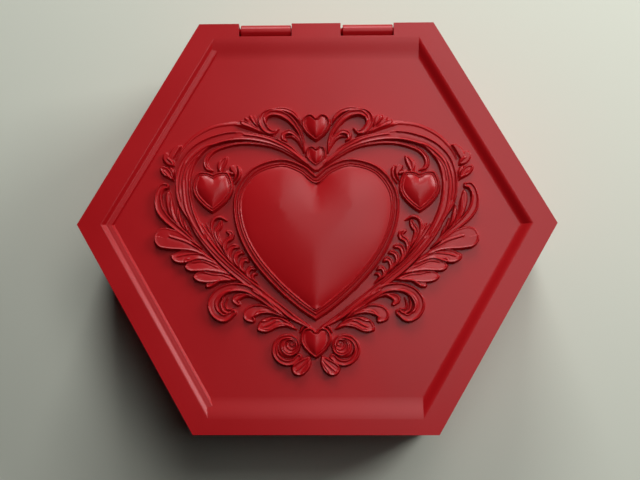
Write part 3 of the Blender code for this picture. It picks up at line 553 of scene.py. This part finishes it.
# Fine lines: name, height, width and a list of (x, y). They lie on the bands and fade out on
# the bare panel.
FINE_LINES = (
    ("frame_outer_rim", 0.44, 0.43, [
        (-51.7, 8), (-52.7, 12), (-52.8, 16), (-52.6, 19.5), (-51.5, 23.3), (-49.2, 27),
        (-46, 30.2), (-42, 32.5), (-38, 34), (-34, 35.1), (-30, 35.4)]),
    ("frame_outer_bead", 0.33, 0.31, [
        (-50.6, 8.5), (-51.2, 11.5), (-51.5, 14), (-51.2, 18), (-50, 22.4), (-49.2, 24)]),
    ("frame_middle_ridge", 0.44, 0.34, [
        (-42.4, -5.8), (-45, -2), (-47.2, 2), (-49.2, 7), (-50.2, 15), (-49.9, 18.5),
        (-48.4, 23.3), (-45.4, 27), (-41.5, 29.8), (-38, 30.7), (-34, 31.8), (-31, 32.2)]),
    ("frame_bead", 0.28, 0.29, [
        (-49.2, 16), (-48.9, 19), (-48.3, 21.5), (-46.2, 24.6), (-43.8, 26.4)]),
    ("frame_inner_ridge", 0.38, 0.31, [
        (-42, -4.3), (-44.2, 0), (-46.2, 5), (-47.5, 11), (-47.7, 14), (-47.5, 17),
        (-46.3, 21.3), (-44.4, 23.8)]),
    ("frame_lower_inner", 0.44, 0.32, [
        (-41, -5), (-37, -10), (-32.5, -14.5), (-27, -19.5), (-24, -21.9), (-18, -26.1),
        (-12, -31), (-8, -34.5)]),
    ("frame_lower_middle", 0.38, 0.32, [
        (-44, -4), (-40, -8.8), (-35.5, -13.3), (-30.5, -17.7), (-24, -22.8)]),
    ("frame_lower_stem", 0.44, 0.41, [
        (-24, -24.6), (-22, -26), (-18, -28.5), (-14, -31.5), (-10, -34.8), (-7, -37.2)]),
    ("frame_throat_crest", 0.44, 0.36, [
        (-28, 34.4), (-22.5, 33.6), (-18.5, 32.6), (-15.5, 31.4), (-12, 29.6), (-8, 26.8),
        (-3.5, 23)]),
    ("frame_throat_upper", 0.33, 0.31, [
        (-20, 34.4), (-16, 33.3), (-13, 31.5), (-10, 30), (-8, 28.6), (-5.2, 26.3)]),
    ("round_leaf_vein", 0.44, 0.36, [
        (-55.4, -4.5), (-52, -5.5), (-49.5, -6.3), (-47.5, -7.2), (-45.5, -8.3), (-42.5, -9.8)]),
    ("lobe_1_lip", 0.33, 0.31, [(-48.6, -14.6), (-48.9, -13.9), (-48.4, -13.2), (-47, -12.9)]),
    ("lobe_1_vein", 0.33, 0.32, [(-52.4, -12.4), (-48, -11.4), (-43, -11.4), (-38, -14)]),
    ("lobe_2_rim", 0.33, 0.32, [(-46.4, -14.6), (-43, -14), (-40.5, -14.6), (-36, -16.8)]),
    ("lobe_3_rim", 0.33, 0.32, [
        (-43, -18.4), (-41.5, -18.2), (-38.5, -18.9), (-34.5, -19.3), (-30, -21.2)]),
    ("lobe_4_ridge", 0.33, 0.31, [(-38.8, -23.2), (-37, -22), (-34.5, -21.2), (-33, -21)]),
    ("lower_scroll_top", 0.33, 0.32, [(-20, -26.6), (-22, -25), (-26, -23.2), (-29.5, -22.6)]),
    ("lower_scroll_bead", 0.44, 0.32, [
        (-31, -25.2), (-33, -25.4), (-35.8, -27), (-37.2, -29.5), (-36.7, -32.3), (-34.8, -33.7)]),
    ("lower_scroll_end", 0.38, 0.31, [(-32.7, -33.6), (-31.4, -33.2), (-30.7, -31.6)]),
    ("small_hook_ridge", 0.33, 0.31, [
        (-22.5, -27.8), (-25.5, -26.6), (-27, -26.9), (-28.7, -28.4), (-28.1, -30)]),
    ("lower_leaf_1_top", 0.38, 0.32, [
        (-23.4, -30.6), (-19, -30.6), (-17, -31.3), (-15, -32.4), (-13.3, -33.8)]),
    ("lower_leaf_1_hook", 0.38, 0.32, [
        (-17, -32.6), (-20.5, -32.6), (-22.4, -34.2), (-22.9, -35.8)]),
    ("lower_leaf_2_crest", 0.38, 0.32, [
        (-20.6, -36.4), (-18.5, -36.3), (-15.5, -35.1), (-13.6, -35), (-10, -37.3)]),
    ("lower_leaf_2_vein", 0.38, 0.31, [(-19.5, -38.7), (-17, -37.6), (-15, -36.4), (-13.2, -36.3)]),
    ("lower_leaf_2_foot", 0.38, 0.31, [
        (-19.3, -39.3), (-17.3, -39.3), (-14.8, -38), (-11.5, -37.4), (-7.6, -39.6)]),
    ("volute_line", 0.5, 0.34, [place[:2] for place in scroll(
        (-8.9, -44.3, 0.9, 0), (-10.2, -46, 4.4, 0), 42, 2.1)]),
    ("petal_rim", 0.38, 0.31, [(-3.4, -49.8), (-5.2, -50.9), (-7, -52), (-8.6, -53.3)]),
    ("petal_vein_1", 0.38, 0.31, [(-2.6, -50), (-3.2, -51.2), (-5.5, -53.4), (-7.3, -55)]),
    ("petal_vein_2", 0.38, 0.31, [(-2.4, -51), (-3.2, -52.8), (-5.4, -55.8)]),
    ("pod_1_ridge", 0.38, 0.32, [(-55.2, 12), (-54.6, 10.4), (-54.4, 6), (-53.4, 2.4), (-51.9, 0)]),
    ("pod_2_ridge", 0.33, 0.31, [
        (-52, 6.6), (-51.4, 5.4), (-51.3, 3.4), (-50.6, 0.6), (-49.4, -1.8)]),
    ("pointed_leaf_vein", 0.38, 0.31, [(-57.8, 20.8), (-56.2, 19), (-54.6, 17.2)]),
    ("bud_ridge", 0.38, 0.36, [(-56.6, 25.6), (-55.4, 24.6), (-54.2, 23.4)]),
    ("top_scroll_line_1", 0.38, 0.31, [
        (-13.6, 43.2), (-16.6, 43.5), (-18.6, 42.6), (-19.8, 40.9), (-19.2, 38.6), (-17.4, 36.6)]),
    ("top_scroll_line_2", 0.33, 0.31, [(-12.6, 41.4), (-15.5, 42.2), (-17.4, 41.4), (-18.4, 39.4)]),
    ("top_scroll_stem", 0.33, 0.31, [
        (-10, 41.4), (-8, 38.9), (-6.2, 36), (-4.9, 33), (-4.5, 30), (-4.5, 28.6)]),
    ("sprig_line_1", 0.28, 0.29, [(-28, 40.6), (-26, 39), (-23, 37.2)]),
    ("sprig_line_2", 0.28, 0.29, [(-24.7, 41.4), (-24.2, 40), (-22.5, 37.4)]),
    ("sprig_root_ridge", 0.44, 0.5, [(-31, 38.8), (-27.5, 38.2), (-24.5, 37.2), (-20, 34.9)]),
)

# Hearts: name; middle x, half width, then the y of lobe top, cleft, widest place and tip; the
# frame as (inset from the outline, height); then the dome as the width and rise of its rounded
# edge, the inset and rise of its flatter middle, and a bulge over the whole heart. Towards the
# tip the dome turns into a roof: its ridge's height, and the shares of the heart's length from
# the tip where the roof begins and where it is complete.
SMALL_HEART = (
    ((0, 0), (0.4, 2.1), (0.7, 2.7), (1.15, 1.5), (1.5, 1.9)),
    (1, 0.1, 5, 0.9, 0.1), (1.3, 1.1, 0.8))
CARVED_HEARTS = (
    ("central_heart", (0, 31.4, 25.2, 18.7, 7, -36.4), (
        (0, 0), (0.4, 2.1), (0.75, 2.6), (1.3, 1.3), (1.7, 1.3), (2.15, 2.4), (2.6, 1.75),
        (3, 2.4), (3.4, 2)), (2, 0.12, 24, 1.6, 0.8), (2.6, 0.55, 0.15)),
    ("top_heart", (0, 5.7, 42.6, 41, 38.6, 31.5), *SMALL_HEART),
    ("throat_heart", (0, 4.1, 30.1, 29.1, 26.6, 21.8), (
        (0, 0), (0.4, 2), (0.6, 2.6), (1, 1.5), (1.3, 1.8)),
        (0.8, 0.1, 3.8, 0.8, 0.1), (0.9, 1.1, 0.8)),
    ("bottom_heart", (0, 5.9, -38.5, -39.9, -42.8, -50.4), *SMALL_HEART),
    ("side_heart", (-38.9, 7.9, 20.4, 19.3, 14, 4.1), (
        (0, 0), (0.4, 1.8), (0.7, 2.3), (1.15, 1.5), (1.55, 2.1), (1.85, 1.75)),
        (1, 0.12, 6, 0.8, 0.42), (1.25, 0.62, 0.15)),
)

# A band's sides rise by WALL_SHARE of its height over WALL_RUN and by the rest over EDGE_ROUND.
# Its hollow starts RIM_INSET in from the edge and is HOLLOW_SIDE wide down to its floor. A
# narrow band keeps NARROW_SHARE of its height, and SHARE_PER_WIDTH more per mm of half width.
WALL_RUN = 0.5
WALL_SHARE = 0.8
EDGE_ROUND = 0.7
RIM_INSET = 0.5
HOLLOW_SIDE = 0.65
NARROW_SHARE = 0.5
SHARE_PER_WIDTH = 0.6

# A fine line stands between two shallow trenches, TRENCH_WIDTH times as wide, and fades over its
# first and last FADE_STEPS. It shows on carving that is higher than LINE_FLOOR.
RIDGE_SHARE = 1.7
TRENCH_SHARE = 0.7
TRENCH_WIDTH = 2
FADE_STEPS = 2
LINE_FLOOR = 0.6

# The valley below a heart's cleft has these sizes on a heart of FULL_LENGTH, and is scaled down
# with the smaller ones. A roof's slopes end ROOF_INSET frame widths in from the outline, and
# bow out by ROOF_BOW.
VALLEY_DEPTH = 0.8
VALLEY_WIDTH = 2.4
VALLEY_LENGTH = 12.0
FULL_LENGTH = 61.6
ROOF_INSET = 1.4
ROOF_LEAST_SHARE = 0.1
ROOF_BOW = 0.5

# Curves have a point about every CURVE_STEP, and a small heart's outline has finer steps.
CURVE_STEP = 0.45
OUTLINE_STEP = 0.35
OUTLINE_STEP_SHARE = 0.05
HEART_MARGIN = 0.5
FAR = 1e9


def smooth_line(points, step):
    """A smooth curve through points of any number of columns, with a point about every step."""
    p = np.array(points, float)
    p = np.vstack([2 * p[0] - p[1], p, 2 * p[-1] - p[-2]])
    line = []
    for a, b, c, d in zip(p, p[1:], p[2:], p[3:]):
        count = max(1, round(math.hypot(*(c - b)[:2]) / step))
        square = 2 * a - 5 * b + 4 * c - d
        cube = 3 * b - a - 3 * c + d
        for t in np.arange(count) / count:
            line.append((2 * b + (c - a) * t + square * t**2 + cube * t**3) / 2)
    line.append(p[-2])
    return np.array(line)


def segment_distance(a, b, x, y):
    """Share of the way from a to b of the segment's nearest point, and the distance to it."""
    dx, dy = b[0] - a[0], b[1] - a[1]
    t = np.clip(((x - a[0]) * dx + (y - a[1]) * dy) / (dx * dx + dy * dy), 0, 1)
    return t, np.hypot(x - a[0] - t * dx, y - a[1] - t * dy)


def band_height(line, top, hollow, lean, x, y):
    """Height of a band with steep sides that follows a line of (x, y, half width). lean raises
    its left edge and lowers its right one."""
    inset = np.full(x.shape, -FAR)
    width = np.ones(x.shape)
    side = np.zeros(x.shape)
    for a, b in zip(line, line[1:]):
        t, distance = segment_distance(a, b, x, y)
        half = a[2] + (b[2] - a[2]) * t
        nearer = half - distance > inset
        turn = (y - a[1]) * (b[0] - a[0]) - (x - a[0]) * (b[1] - a[1])
        width = np.where(nearer, half, width)
        side = np.where(nearer, turn, side)
        inset = np.maximum(inset, half - distance)
    wall = np.clip(inset / WALL_RUN, 0, 1)
    edge = np.clip(inset / np.minimum(EDGE_ROUND, width), 0, 1)
    z = WALL_SHARE * ease(wall) + (1 - WALL_SHARE) * edge * (2 - edge)
    z *= top * np.clip(NARROW_SHARE + SHARE_PER_WIDTH * width, 0, 1)
    z -= hollow * ease(np.clip((inset - RIM_INSET) / HOLLOW_SIDE, 0, 1))
    z *= 1 + lean * np.sign(side) * (1 - np.minimum(inset / width, 1))
    return np.where(inset > 0, z, 0)


def line_height(line, height, width, x, y):
    """Height that a fine line adds. It has a shallow trench beside it and fades at both ends."""
    nearest = np.full(x.shape, FAR)
    fade = np.zeros(x.shape)
    steps = len(line) - 1
    for i, (a, b) in enumerate(zip(line, line[1:])):
        t, distance = segment_distance(a, b, x, y)
        from_end = np.minimum(i + t, steps - i - t) / FADE_STEPS
        fade = np.where(distance < nearest, np.clip(from_end, 0, 1), fade)
        nearest = np.minimum(nearest, distance)
    ridge = np.exp(-((nearest / width) ** 2))
    trench = np.exp(-((nearest / (TRENCH_WIDTH * width)) ** 2))
    return height * fade * (RIDGE_SHARE * ridge - TRENCH_SHARE * trench)


def heart_outline(middle, half, lobe, cleft, side, tip, step):
    """Closed outline of a heart, from the cleft round the left side to the tip and back."""
    rise, fall = lobe - cleft, side - tip
    left = [
        (0, cleft),
        (-0.16 * half, cleft + 0.62 * rise),
        (-0.42 * half, lobe),
        (-0.74 * half, cleft + 0.55 * rise),
        (-0.94 * half, side + 0.45 * (lobe - side)),
        (-half, side),
        (-0.94 * half, side - 0.24 * fall),
        (-0.77 * half, side - 0.48 * fall),
        (-0.5 * half, side - 0.71 * fall),
        (-0.22 * half, side - 0.89 * fall),
        (0, tip),
    ]
    left = smooth_line(left, step)
    return np.vstack([left, left[-2:0:-1] * (-1, 1)]) + (middle, 0)


def inside_distance(outline, x, y):
    """Distance to a closed outline, positive inside it."""
    nearest = np.full(x.shape, FAR)
    inside = np.zeros(x.shape, bool)
    for a, b in zip(outline, np.roll(outline, -1, 0)):
        nearest = np.minimum(nearest, segment_distance(a, b, x, y)[1])
        if a[1] != b[1]:
            crossing = a[0] + (y - a[1]) * (b[0] - a[0]) / (b[1] - a[1])
            inside ^= ((a[1] > y) != (b[1] > y)) & (x < crossing)
    return np.where(inside, nearest, -nearest)


def eased(profile, places):
    """Heights at places along a profile of (place, height) points, level at each point."""
    stops, heights = np.array(profile).T
    share = np.interp(places, stops, np.arange(len(stops)))
    step = np.minimum(share.astype(int), len(stops) - 2)
    return heights[step] + (heights[step + 1] - heights[step]) * ease(share - step)


def heart_height(shape, profile, dome, roof, x, y):
    """Height of a framed heart whose middle is domed, with a short valley below its cleft."""
    middle, half, lobe, cleft, _, tip = shape
    edge, edge_rise, full, rise, bulge = dome
    ridge, roof_start, roof_end = roof
    length, scale = lobe - tip, (lobe - tip) / FULL_LENGTH
    outline = heart_outline(*shape, min(OUTLINE_STEP, half * OUTLINE_STEP_SHARE))
    inset = inside_distance(outline, x, y)
    frame_width = profile[-1][0]
    share = np.clip((inset - frame_width) / (full - frame_width), 0, 1)
    edge_share = np.clip((inset - frame_width) / edge, 0, 1)
    edge_height = edge_rise * edge_share * (2 - edge_share)
    across, along = (x - middle) / half, 2 * (y - tip) / length - 1
    domed = edge_height + rise * share * (2 - share)
    domed += bulge * np.clip(1 - across**2 - along**2, 0, 1)

    # The roof's eaves follow the outline from its widest place down to the tip.
    lower_left = outline[np.argmin(outline[:, 0]) : np.argmin(outline[:, 1]) + 1] - (middle, 0)
    eaves = ROOF_INSET * frame_width
    width = np.interp(y, lower_left[::-1, 1], -lower_left[::-1, 0]) - eaves
    width = np.maximum(width, ROOF_LEAST_SHARE * half)
    roofed = ridge * np.sqrt(width / (half - eaves)).clip(0, 1)
    aside = np.minimum(np.abs(x - middle) / width, 1)
    roofed *= 1 - (1 - ROOF_BOW) * aside - ROOF_BOW * aside**2
    turned = (tip + roof_start * length - y) / ((roof_start - roof_end) * length)
    turned = ease(np.clip(turned, 0, 1))
    z = eased(profile, inset) + domed + turned * (roofed - domed) * (share > 0)

    # The valley fades out towards its lower end.
    end = cleft - frame_width - VALLEY_LENGTH * scale
    fade = np.clip((y - end) / (VALLEY_LENGTH * scale), 0, 1) * (share > 0)
    z -= VALLEY_DEPTH * scale * np.exp(-np.abs(x - middle) / (VALLEY_WIDTH * scale)) * fade
    return np.where(inset > 0, z, 0)


def around(line, margin, x, y):
    """Which places lie in the box round a line, with this margin."""
    low, high = line.min(0) - margin, line.max(0) + margin
    return (x > low[0]) & (x < high[0]) & (y > low[1]) & (y < high[1])


def carved_height(x, y):
    """Height of the carving above the panel, on the left half."""
    z = np.zeros(x.shape)
    for name, top, hollow, spine in CARVED_BANDS:
        line = smooth_line(spine, CURVE_STEP)
        near = around(line, line[:, 2].max(), x, y)
        band = band_height(line, top, hollow, TILED.get(name, 0), x[near], y[near])
        z[near] = np.maximum(z[near], band)
    for _, height, width, points in FINE_LINES:
        line = smooth_line(points, CURVE_STEP)
        near = around(line, 2 * TRENCH_WIDTH * width, x, y)
        under = np.clip(z[near] - LINE_FLOOR, 0, 1)
        z[near] += under * line_height(line, height, width, x[near], y[near])
    for _, shape, profile, dome, roof in CARVED_HEARTS:
        middle, half, lobe, _, _, tip = shape
        near = np.abs(x - middle) < half + HEART_MARGIN
        near &= (y > tip - HEART_MARGIN) & (y < lobe + HEART_MARGIN)
        heart = heart_height(shape, profile, dome, roof, x[near], y[near])
        z[near] = np.maximum(z[near], heart)
    return z


# The panel's mesh: squares of 2 mm over the carving, each split down to 0.25 mm where
# the surface bends, and plain triangles from there out to the shoulder. The shading follows
# the carving's true slope at each point, so that its fine ridges read as clean lines.

CELL = 0.25
LARGEST = 8
FLATNESS = 0.03
EVENNESS = 0.6
SLOPE_REACH = 0.1
LEFT_EDGE = -64.0
FRONT_EDGE = -60.0
BACK_EDGE = 48.0
TRIANGLE_EPSILON = 1e-4


def is_flat(heights, row, column, side):
    """Whether a square of the height grid is close to the surface through its corners."""
    block = heights[row : row + side + 1, column : column + side + 1]
    t = np.linspace(0, 1, side + 1)
    front = block[0, 0] + (block[0, -1] - block[0, 0]) * t
    back = block[-1, 0] + (block[-1, -1] - block[-1, 0]) * t
    return np.abs(block - (front + np.outer(t, back - front))).max() < FLATNESS


def is_even(slopes, row, column, side):
    """Whether the slopes of the height grid hardly change over a square."""
    block = slopes[:, row : row + side + 1, column : column + side + 1]
    return np.ptp(block, (1, 2)).max() < EVENNESS


def carving_squares(heights):
    """Squares as (row, column, side) that cover the carving, and the large ones they come from."""
    slopes = np.array(np.gradient(heights, CELL)) * (heights > 0)
    rows, columns = heights.shape
    large = []
    for row in range(0, rows - 1, LARGEST):
        for column in range(0, columns - 1, LARGEST):
            if heights[row : row + LARGEST + 1, column : column + LARGEST + 1].max() > 0:
                large.append((row, column, LARGEST))
    squares, waiting = [], list(large)
    while waiting:
        square = waiting.pop()
        row, column, side = square
        if side == 1 or is_flat(heights, *square) and is_even(slopes, *square):
            squares.append(square)
        else:
            half = side // 2
            for down, across in ((0, 0), (0, half), (half, 0), (half, half)):
                waiting.append((row + down, column + across, half))
    return squares, large


def border(row, column, side):
    """Grid places round a square, one after another."""
    steps = range(side)
    places = [(row, column + i) for i in steps]
    places += [(row + i, column + side) for i in steps]
    places += [(row + side, column + side - i) for i in steps]
    return places + [(row + side - i, column) for i in steps]


def outer_runs(large, used, last_column):
    """Runs of used grid places along the outer edges of the large squares, without those on
    the middle line, which is the last column."""
    runs, taken = [], set(large)
    for row, column, side in large:
        ring = border(row, column, side) + [(row, column)]
        for k, (up, right) in enumerate(((-side, 0), (0, side), (side, 0), (0, -side))):
            at_middle = k == 1 and column + side == last_column
            if not at_middle and (row + up, column + right, side) not in taken:
                stretch = ring[k * side : (k + 1) * side + 1]
                runs.append([place for place in stretch if used[place]])
    return runs


def plain_faces(large, used, across, along, points):
    """Triangles between the large squares and the shoulder. The corners that the squares don't
    have are added to the points."""
    runs = outer_runs(large, used, len(across) - 1)
    lines = [[(across[column], along[row]) for row, column in run] for run in runs]
    left_corners = hexagon(PANEL_APOTHEM, PANEL_REACH)[2:5]
    lines.append([(0, PANEL_REACH), *left_corners, (0, -PANEL_REACH)])
    corners, edges = [], []
    for line in lines:
        first = len(corners)
        corners += [Vector(p) for p in line]
        edges += [(first + i, first + i + 1) for i in range(len(line) - 1)]
    corners, _, triangles, *_ = delaunay_2d_cdt(corners, edges, [], 0, TRIANGLE_EPSILON)
    place_of = {(round(p[0] / CELL), round(p[1] / CELL)): i for i, p in enumerate(points)}
    numbers = []
    for p in corners:
        found = place_of.get((round(p.x / CELL), round(p.y / CELL)))
        if found is None or math.dist(points[found][:2], p) > SAME_PLACE:
            found = len(points)
            points.append((p.x, p.y, 0.0))
        numbers.append(found)

    # Triangles whose middle lies in a large square are left out.
    square_size = LARGEST * CELL
    faces, taken = [], set(large)
    for face in triangles:
        middle_x = sum(corners[i].x for i in face) / 3
        middle_y = sum(corners[i].y for i in face) / 3
        row = math.floor((middle_y - FRONT_EDGE) / square_size) * LARGEST
        column = math.floor((middle_x - LEFT_EDGE) / square_size) * LARGEST
        if (row, column, LARGEST) not in taken:
            faces.append([numbers[i] for i in face])
    return faces


def panel_half():
    """Points, slopes and faces of the left half of the panel. Only the carving's points have a
    slope, and they come first."""
    across = np.linspace(LEFT_EDGE, 0, round(-LEFT_EDGE / CELL) + 1)
    along = np.linspace(FRONT_EDGE, BACK_EDGE, round((BACK_EDGE - FRONT_EDGE) / CELL) + 1)
    x, y = np.meshgrid(across, along)
    heights = carved_height(x, y)
    squares, large = carving_squares(heights)
    used = np.zeros(heights.shape, bool)
    for row, column, side in squares:
        used[row : row + side + 1 : side, column : column + side + 1 : side] = True
    index = np.cumsum(used).reshape(used.shape) - 1
    x, y, heights = x[used], y[used], heights[used]
    points = list(zip(x, y, heights))
    right_x = -np.abs(x + SLOPE_REACH)
    rise_x = carved_height(right_x, y) - carved_height(x - SLOPE_REACH, y)
    rise_y = carved_height(x, y + SLOPE_REACH) - carved_height(x, y - SLOPE_REACH)
    slopes = np.stack([rise_x, rise_y], 1) / (2 * SLOPE_REACH) * (heights > 0)[:, None]
    faces = [[index[place] for place in border(*square) if used[place]] for square in squares]
    faces += plain_faces(large, used, across, along, points)
    return points, slopes, faces


# The panel's plain face is cut out of the lid, and the carved one is sewn in. It has points on
# the middle line, so the hole's front and back edges are split there.

UPWARD = 0.9
bm = bmesh.new()
bm.from_mesh(lid.data)
panel_faces = []
for face in bm.faces:
    level = all(abs(vert.co.z - PANEL_HEIGHT * MM) < SAME_PLACE * MM for vert in face.verts)
    if level and face.normal.z > UPWARD:
        panel_faces.append(face)
bmesh.ops.delete(bm, geom=panel_faces, context="FACES")
for edge in [edge for edge in bm.edges if edge.is_boundary]:
    if abs(edge.verts[0].co.y - edge.verts[1].co.y) < SAME_PLACE * MM:
        bmesh.utils.edge_split(edge, edge.verts[0], 0.5)
points, slopes, faces = panel_half()
true_normal = bm.verts.layers.float_vector.new("true_normal")
left, right = [], []
for x, y, z in points:
    vert = bm.verts.new((x * MM, y * MM, (PANEL_HEIGHT + z) * MM))
    left.append(vert)
    on_middle = x > -SAME_PLACE
    right.append(vert if on_middle else bm.verts.new(vert.co * Vector((-1, 1, 1))))
for vert, mirrored, (rise_x, rise_y) in zip(left, right, slopes):
    mirrored[true_normal] = Vector((rise_x, -rise_y, 1)).normalized()
    vert[true_normal] = Vector((-rise_x, -rise_y, 1)).normalized()
for face in faces:
    bm.faces.new([left[i] for i in face]).smooth = True
    bm.faces.new([right[i] for i in reversed(face)]).smooth = True
seam = [vert for vert in bm.verts if any(edge.is_boundary for edge in vert.link_edges)]
bmesh.ops.remove_doubles(bm, verts=seam, dist=SAME_PLACE * MM)
bm.to_mesh(lid.data)
bm.free()
shade(lid)

# The carving is shaded by its true slopes, and the shoulder by its curve's slopes. At the front
# and the back these are lessened to a share of EASY_SHADE, so that the shoulder looks gentler.

EASY_SHADE = 0.6
LEVEL_FACE = 0.999
STEEP_FACE = 0.3
TOWARDS_Y = 0.9
TOUCH = 0.01


def on_shoulder(p):
    """Whether a point in millimetres lies outside the panel, between its height and the rim's."""
    slanting = abs(p.x) * COS_30 + abs(p.y) / 2
    outside = abs(p.y) > PANEL_REACH - TOUCH or slanting > PANEL_APOTHEM - TOUCH
    return outside and PANEL_HEIGHT - TOUCH < p.z < RIM_HEIGHT + TOUCH


mesh = lid.data
normals = np.empty(len(mesh.loops) * 3)
mesh.corner_normals.foreach_get("vector", normals)
normals = normals.reshape(-1, 3)
carved = np.empty(len(mesh.vertices) * 3)
mesh.attributes["true_normal"].data.foreach_get("vector", carved)
corner_vertex = np.empty(len(mesh.loops), int)
mesh.loops.foreach_get("vertex_index", corner_vertex)
carved = carved.reshape(-1, 3)[corner_vertex]
on_carving = carved[:, 2] > 0
normals[on_carving] = carved[on_carving]
lefts, reaches, rights, heights = np.array(shoulder_sections()).T
left_slopes = np.gradient(heights, lefts)
easy_slopes = np.gradient(heights, reaches) * EASY_SHADE
right_slopes = np.gradient(heights, rights)
for face in mesh.polygons:
    corners = [mesh.vertices[i].co / MM for i in face.vertices]
    if STEEP_FACE < face.normal.z < LEVEL_FACE and all(on_shoulder(p) for p in corners):
        level = Vector((face.normal.x, face.normal.y)).normalized()
        if abs(level.y) > TOWARDS_Y:
            side_slopes = easy_slopes
        else:
            side_slopes = left_slopes if level.x > 0 else right_slopes
        for loop, p in zip(face.loop_indices, corners):
            slope = np.interp(p.z, heights[::-1], side_slopes[::-1])
            normals[loop] = Vector((level.x * slope, level.y * slope, 1)).normalized()
mesh.normals_split_custom_set(normals)
mesh.attributes.remove(mesh.attributes["true_normal"])

# The lid's plastic is the same red, its top ironed smooth by the printer, so that only a very
# fine grain breaks the sheen.

GRAIN_SIZE = 0.5
PIT_DEPTH = 0.02
lid_pla = satin_red_pla("satin_red_pla_smooth")
tree = lid_pla.node_tree
place = add_node(tree, "ShaderNodeTexCoord").outputs["Object"]
size = {"Scale": 1 / (GRAIN_SIZE * MM), "Detail": 2.0}
grain = add_node(tree, "ShaderNodeTexNoise", size, {"Vector": place}).outputs["Fac"]
relief = {"Strength": 0.1, "Distance": PIT_DEPTH * MM}
pits = add_node(tree, "ShaderNodeBump", relief, {"Height": grain}).outputs["Normal"]
tree.links.new(pits, tree.nodes["Principled BSDF"].inputs["Normal"])
lid.data.materials.clear()
lid.data.materials.append(lid_pla)
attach(lid, "lid")
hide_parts("lid")

# Table
# The box stands on a plain pale grey-green sheet with a matt surface, 3 m wide so that its
# edges stay out of the photo's view.

TABLE_SIZE = 3.0
bm = bmesh.new()
bmesh.ops.create_grid(bm, x_segments=1, y_segments=1, size=TABLE_SIZE / 2)
table_mesh = bpy.data.meshes.new("table")
bm.to_mesh(table_mesh)
bm.free()
table = put_in_scene("table", table_mesh)
table_paint = bpy.data.materials.new("matt_pale_sheet")
table_paint.use_nodes = True
sheet = table_paint.node_tree.nodes["Principled BSDF"]
sheet.inputs["Base Color"].default_value = linear("#CED2C4")
sheet.inputs["Roughness"].default_value = 0.8
table_mesh.materials.append(table_paint)

# Light
# Two broad windows stand low to the right and beyond the box, and two soft panels hang over
# it, so that the light falls off to the left and the shadows lie to the lower left.


def soft_light(name, place, aim, size, watts):
    """A rectangular white area light that faces a point."""
    lamp = bpy.data.lights.new(name, "AREA")
    lamp.shape = "RECTANGLE"
    lamp.size, lamp.size_y = size
    lamp.energy = watts
    holder = put_in_scene(name, lamp)
    holder.location = place
    holder.rotation_euler = (Vector(place) - Vector(aim)).to_track_quat("Z", "Y").to_euler()


LID_MIDDLE = (0, 0, RIM_HEIGHT * MM)
soft_light("window_right", (0.573, 0.331, 0.412), LID_MIDDLE, (0.32, 0.32), 3.25)
soft_light("window_beyond", (0, 0.662, 0.412), LID_MIDDLE, (0.32, 0.32), 3.25)
soft_light("panel_near", (0.2, 0.1, 0.76), (0.2, 0.1, 0), (0.4, 0.4), 0.85)
soft_light("panel_far", (0.15, 0.3, 0.76), (0.15, 0.3, 0), (0.3, 0.4), 1.45)
world = bpy.data.worlds.new("room")
world.use_nodes = True
world.node_tree.nodes["Background"].inputs["Strength"].default_value = 0.0
bpy.context.scene.world = world
bpy.context.scene.view_settings.view_transform = "Standard"

# Camera
# It looks almost straight down from 0.4 m above the lid, a little from the front, and frames
# the box as the photo does.

camera_data = bpy.data.cameras.new("photo_camera")
camera_data.sensor_width = 36.0
camera_data.lens = 61.875
camera_data.clip_start = 0.01
camera = put_in_scene("photo_camera", camera_data)
camera.location = (0.012006, -0.063958, 0.46634)
camera.rotation_euler = [math.radians(angle) for angle in (8.09190, 1.47629, 0.00679)]
bpy.context.scene.camera = camera
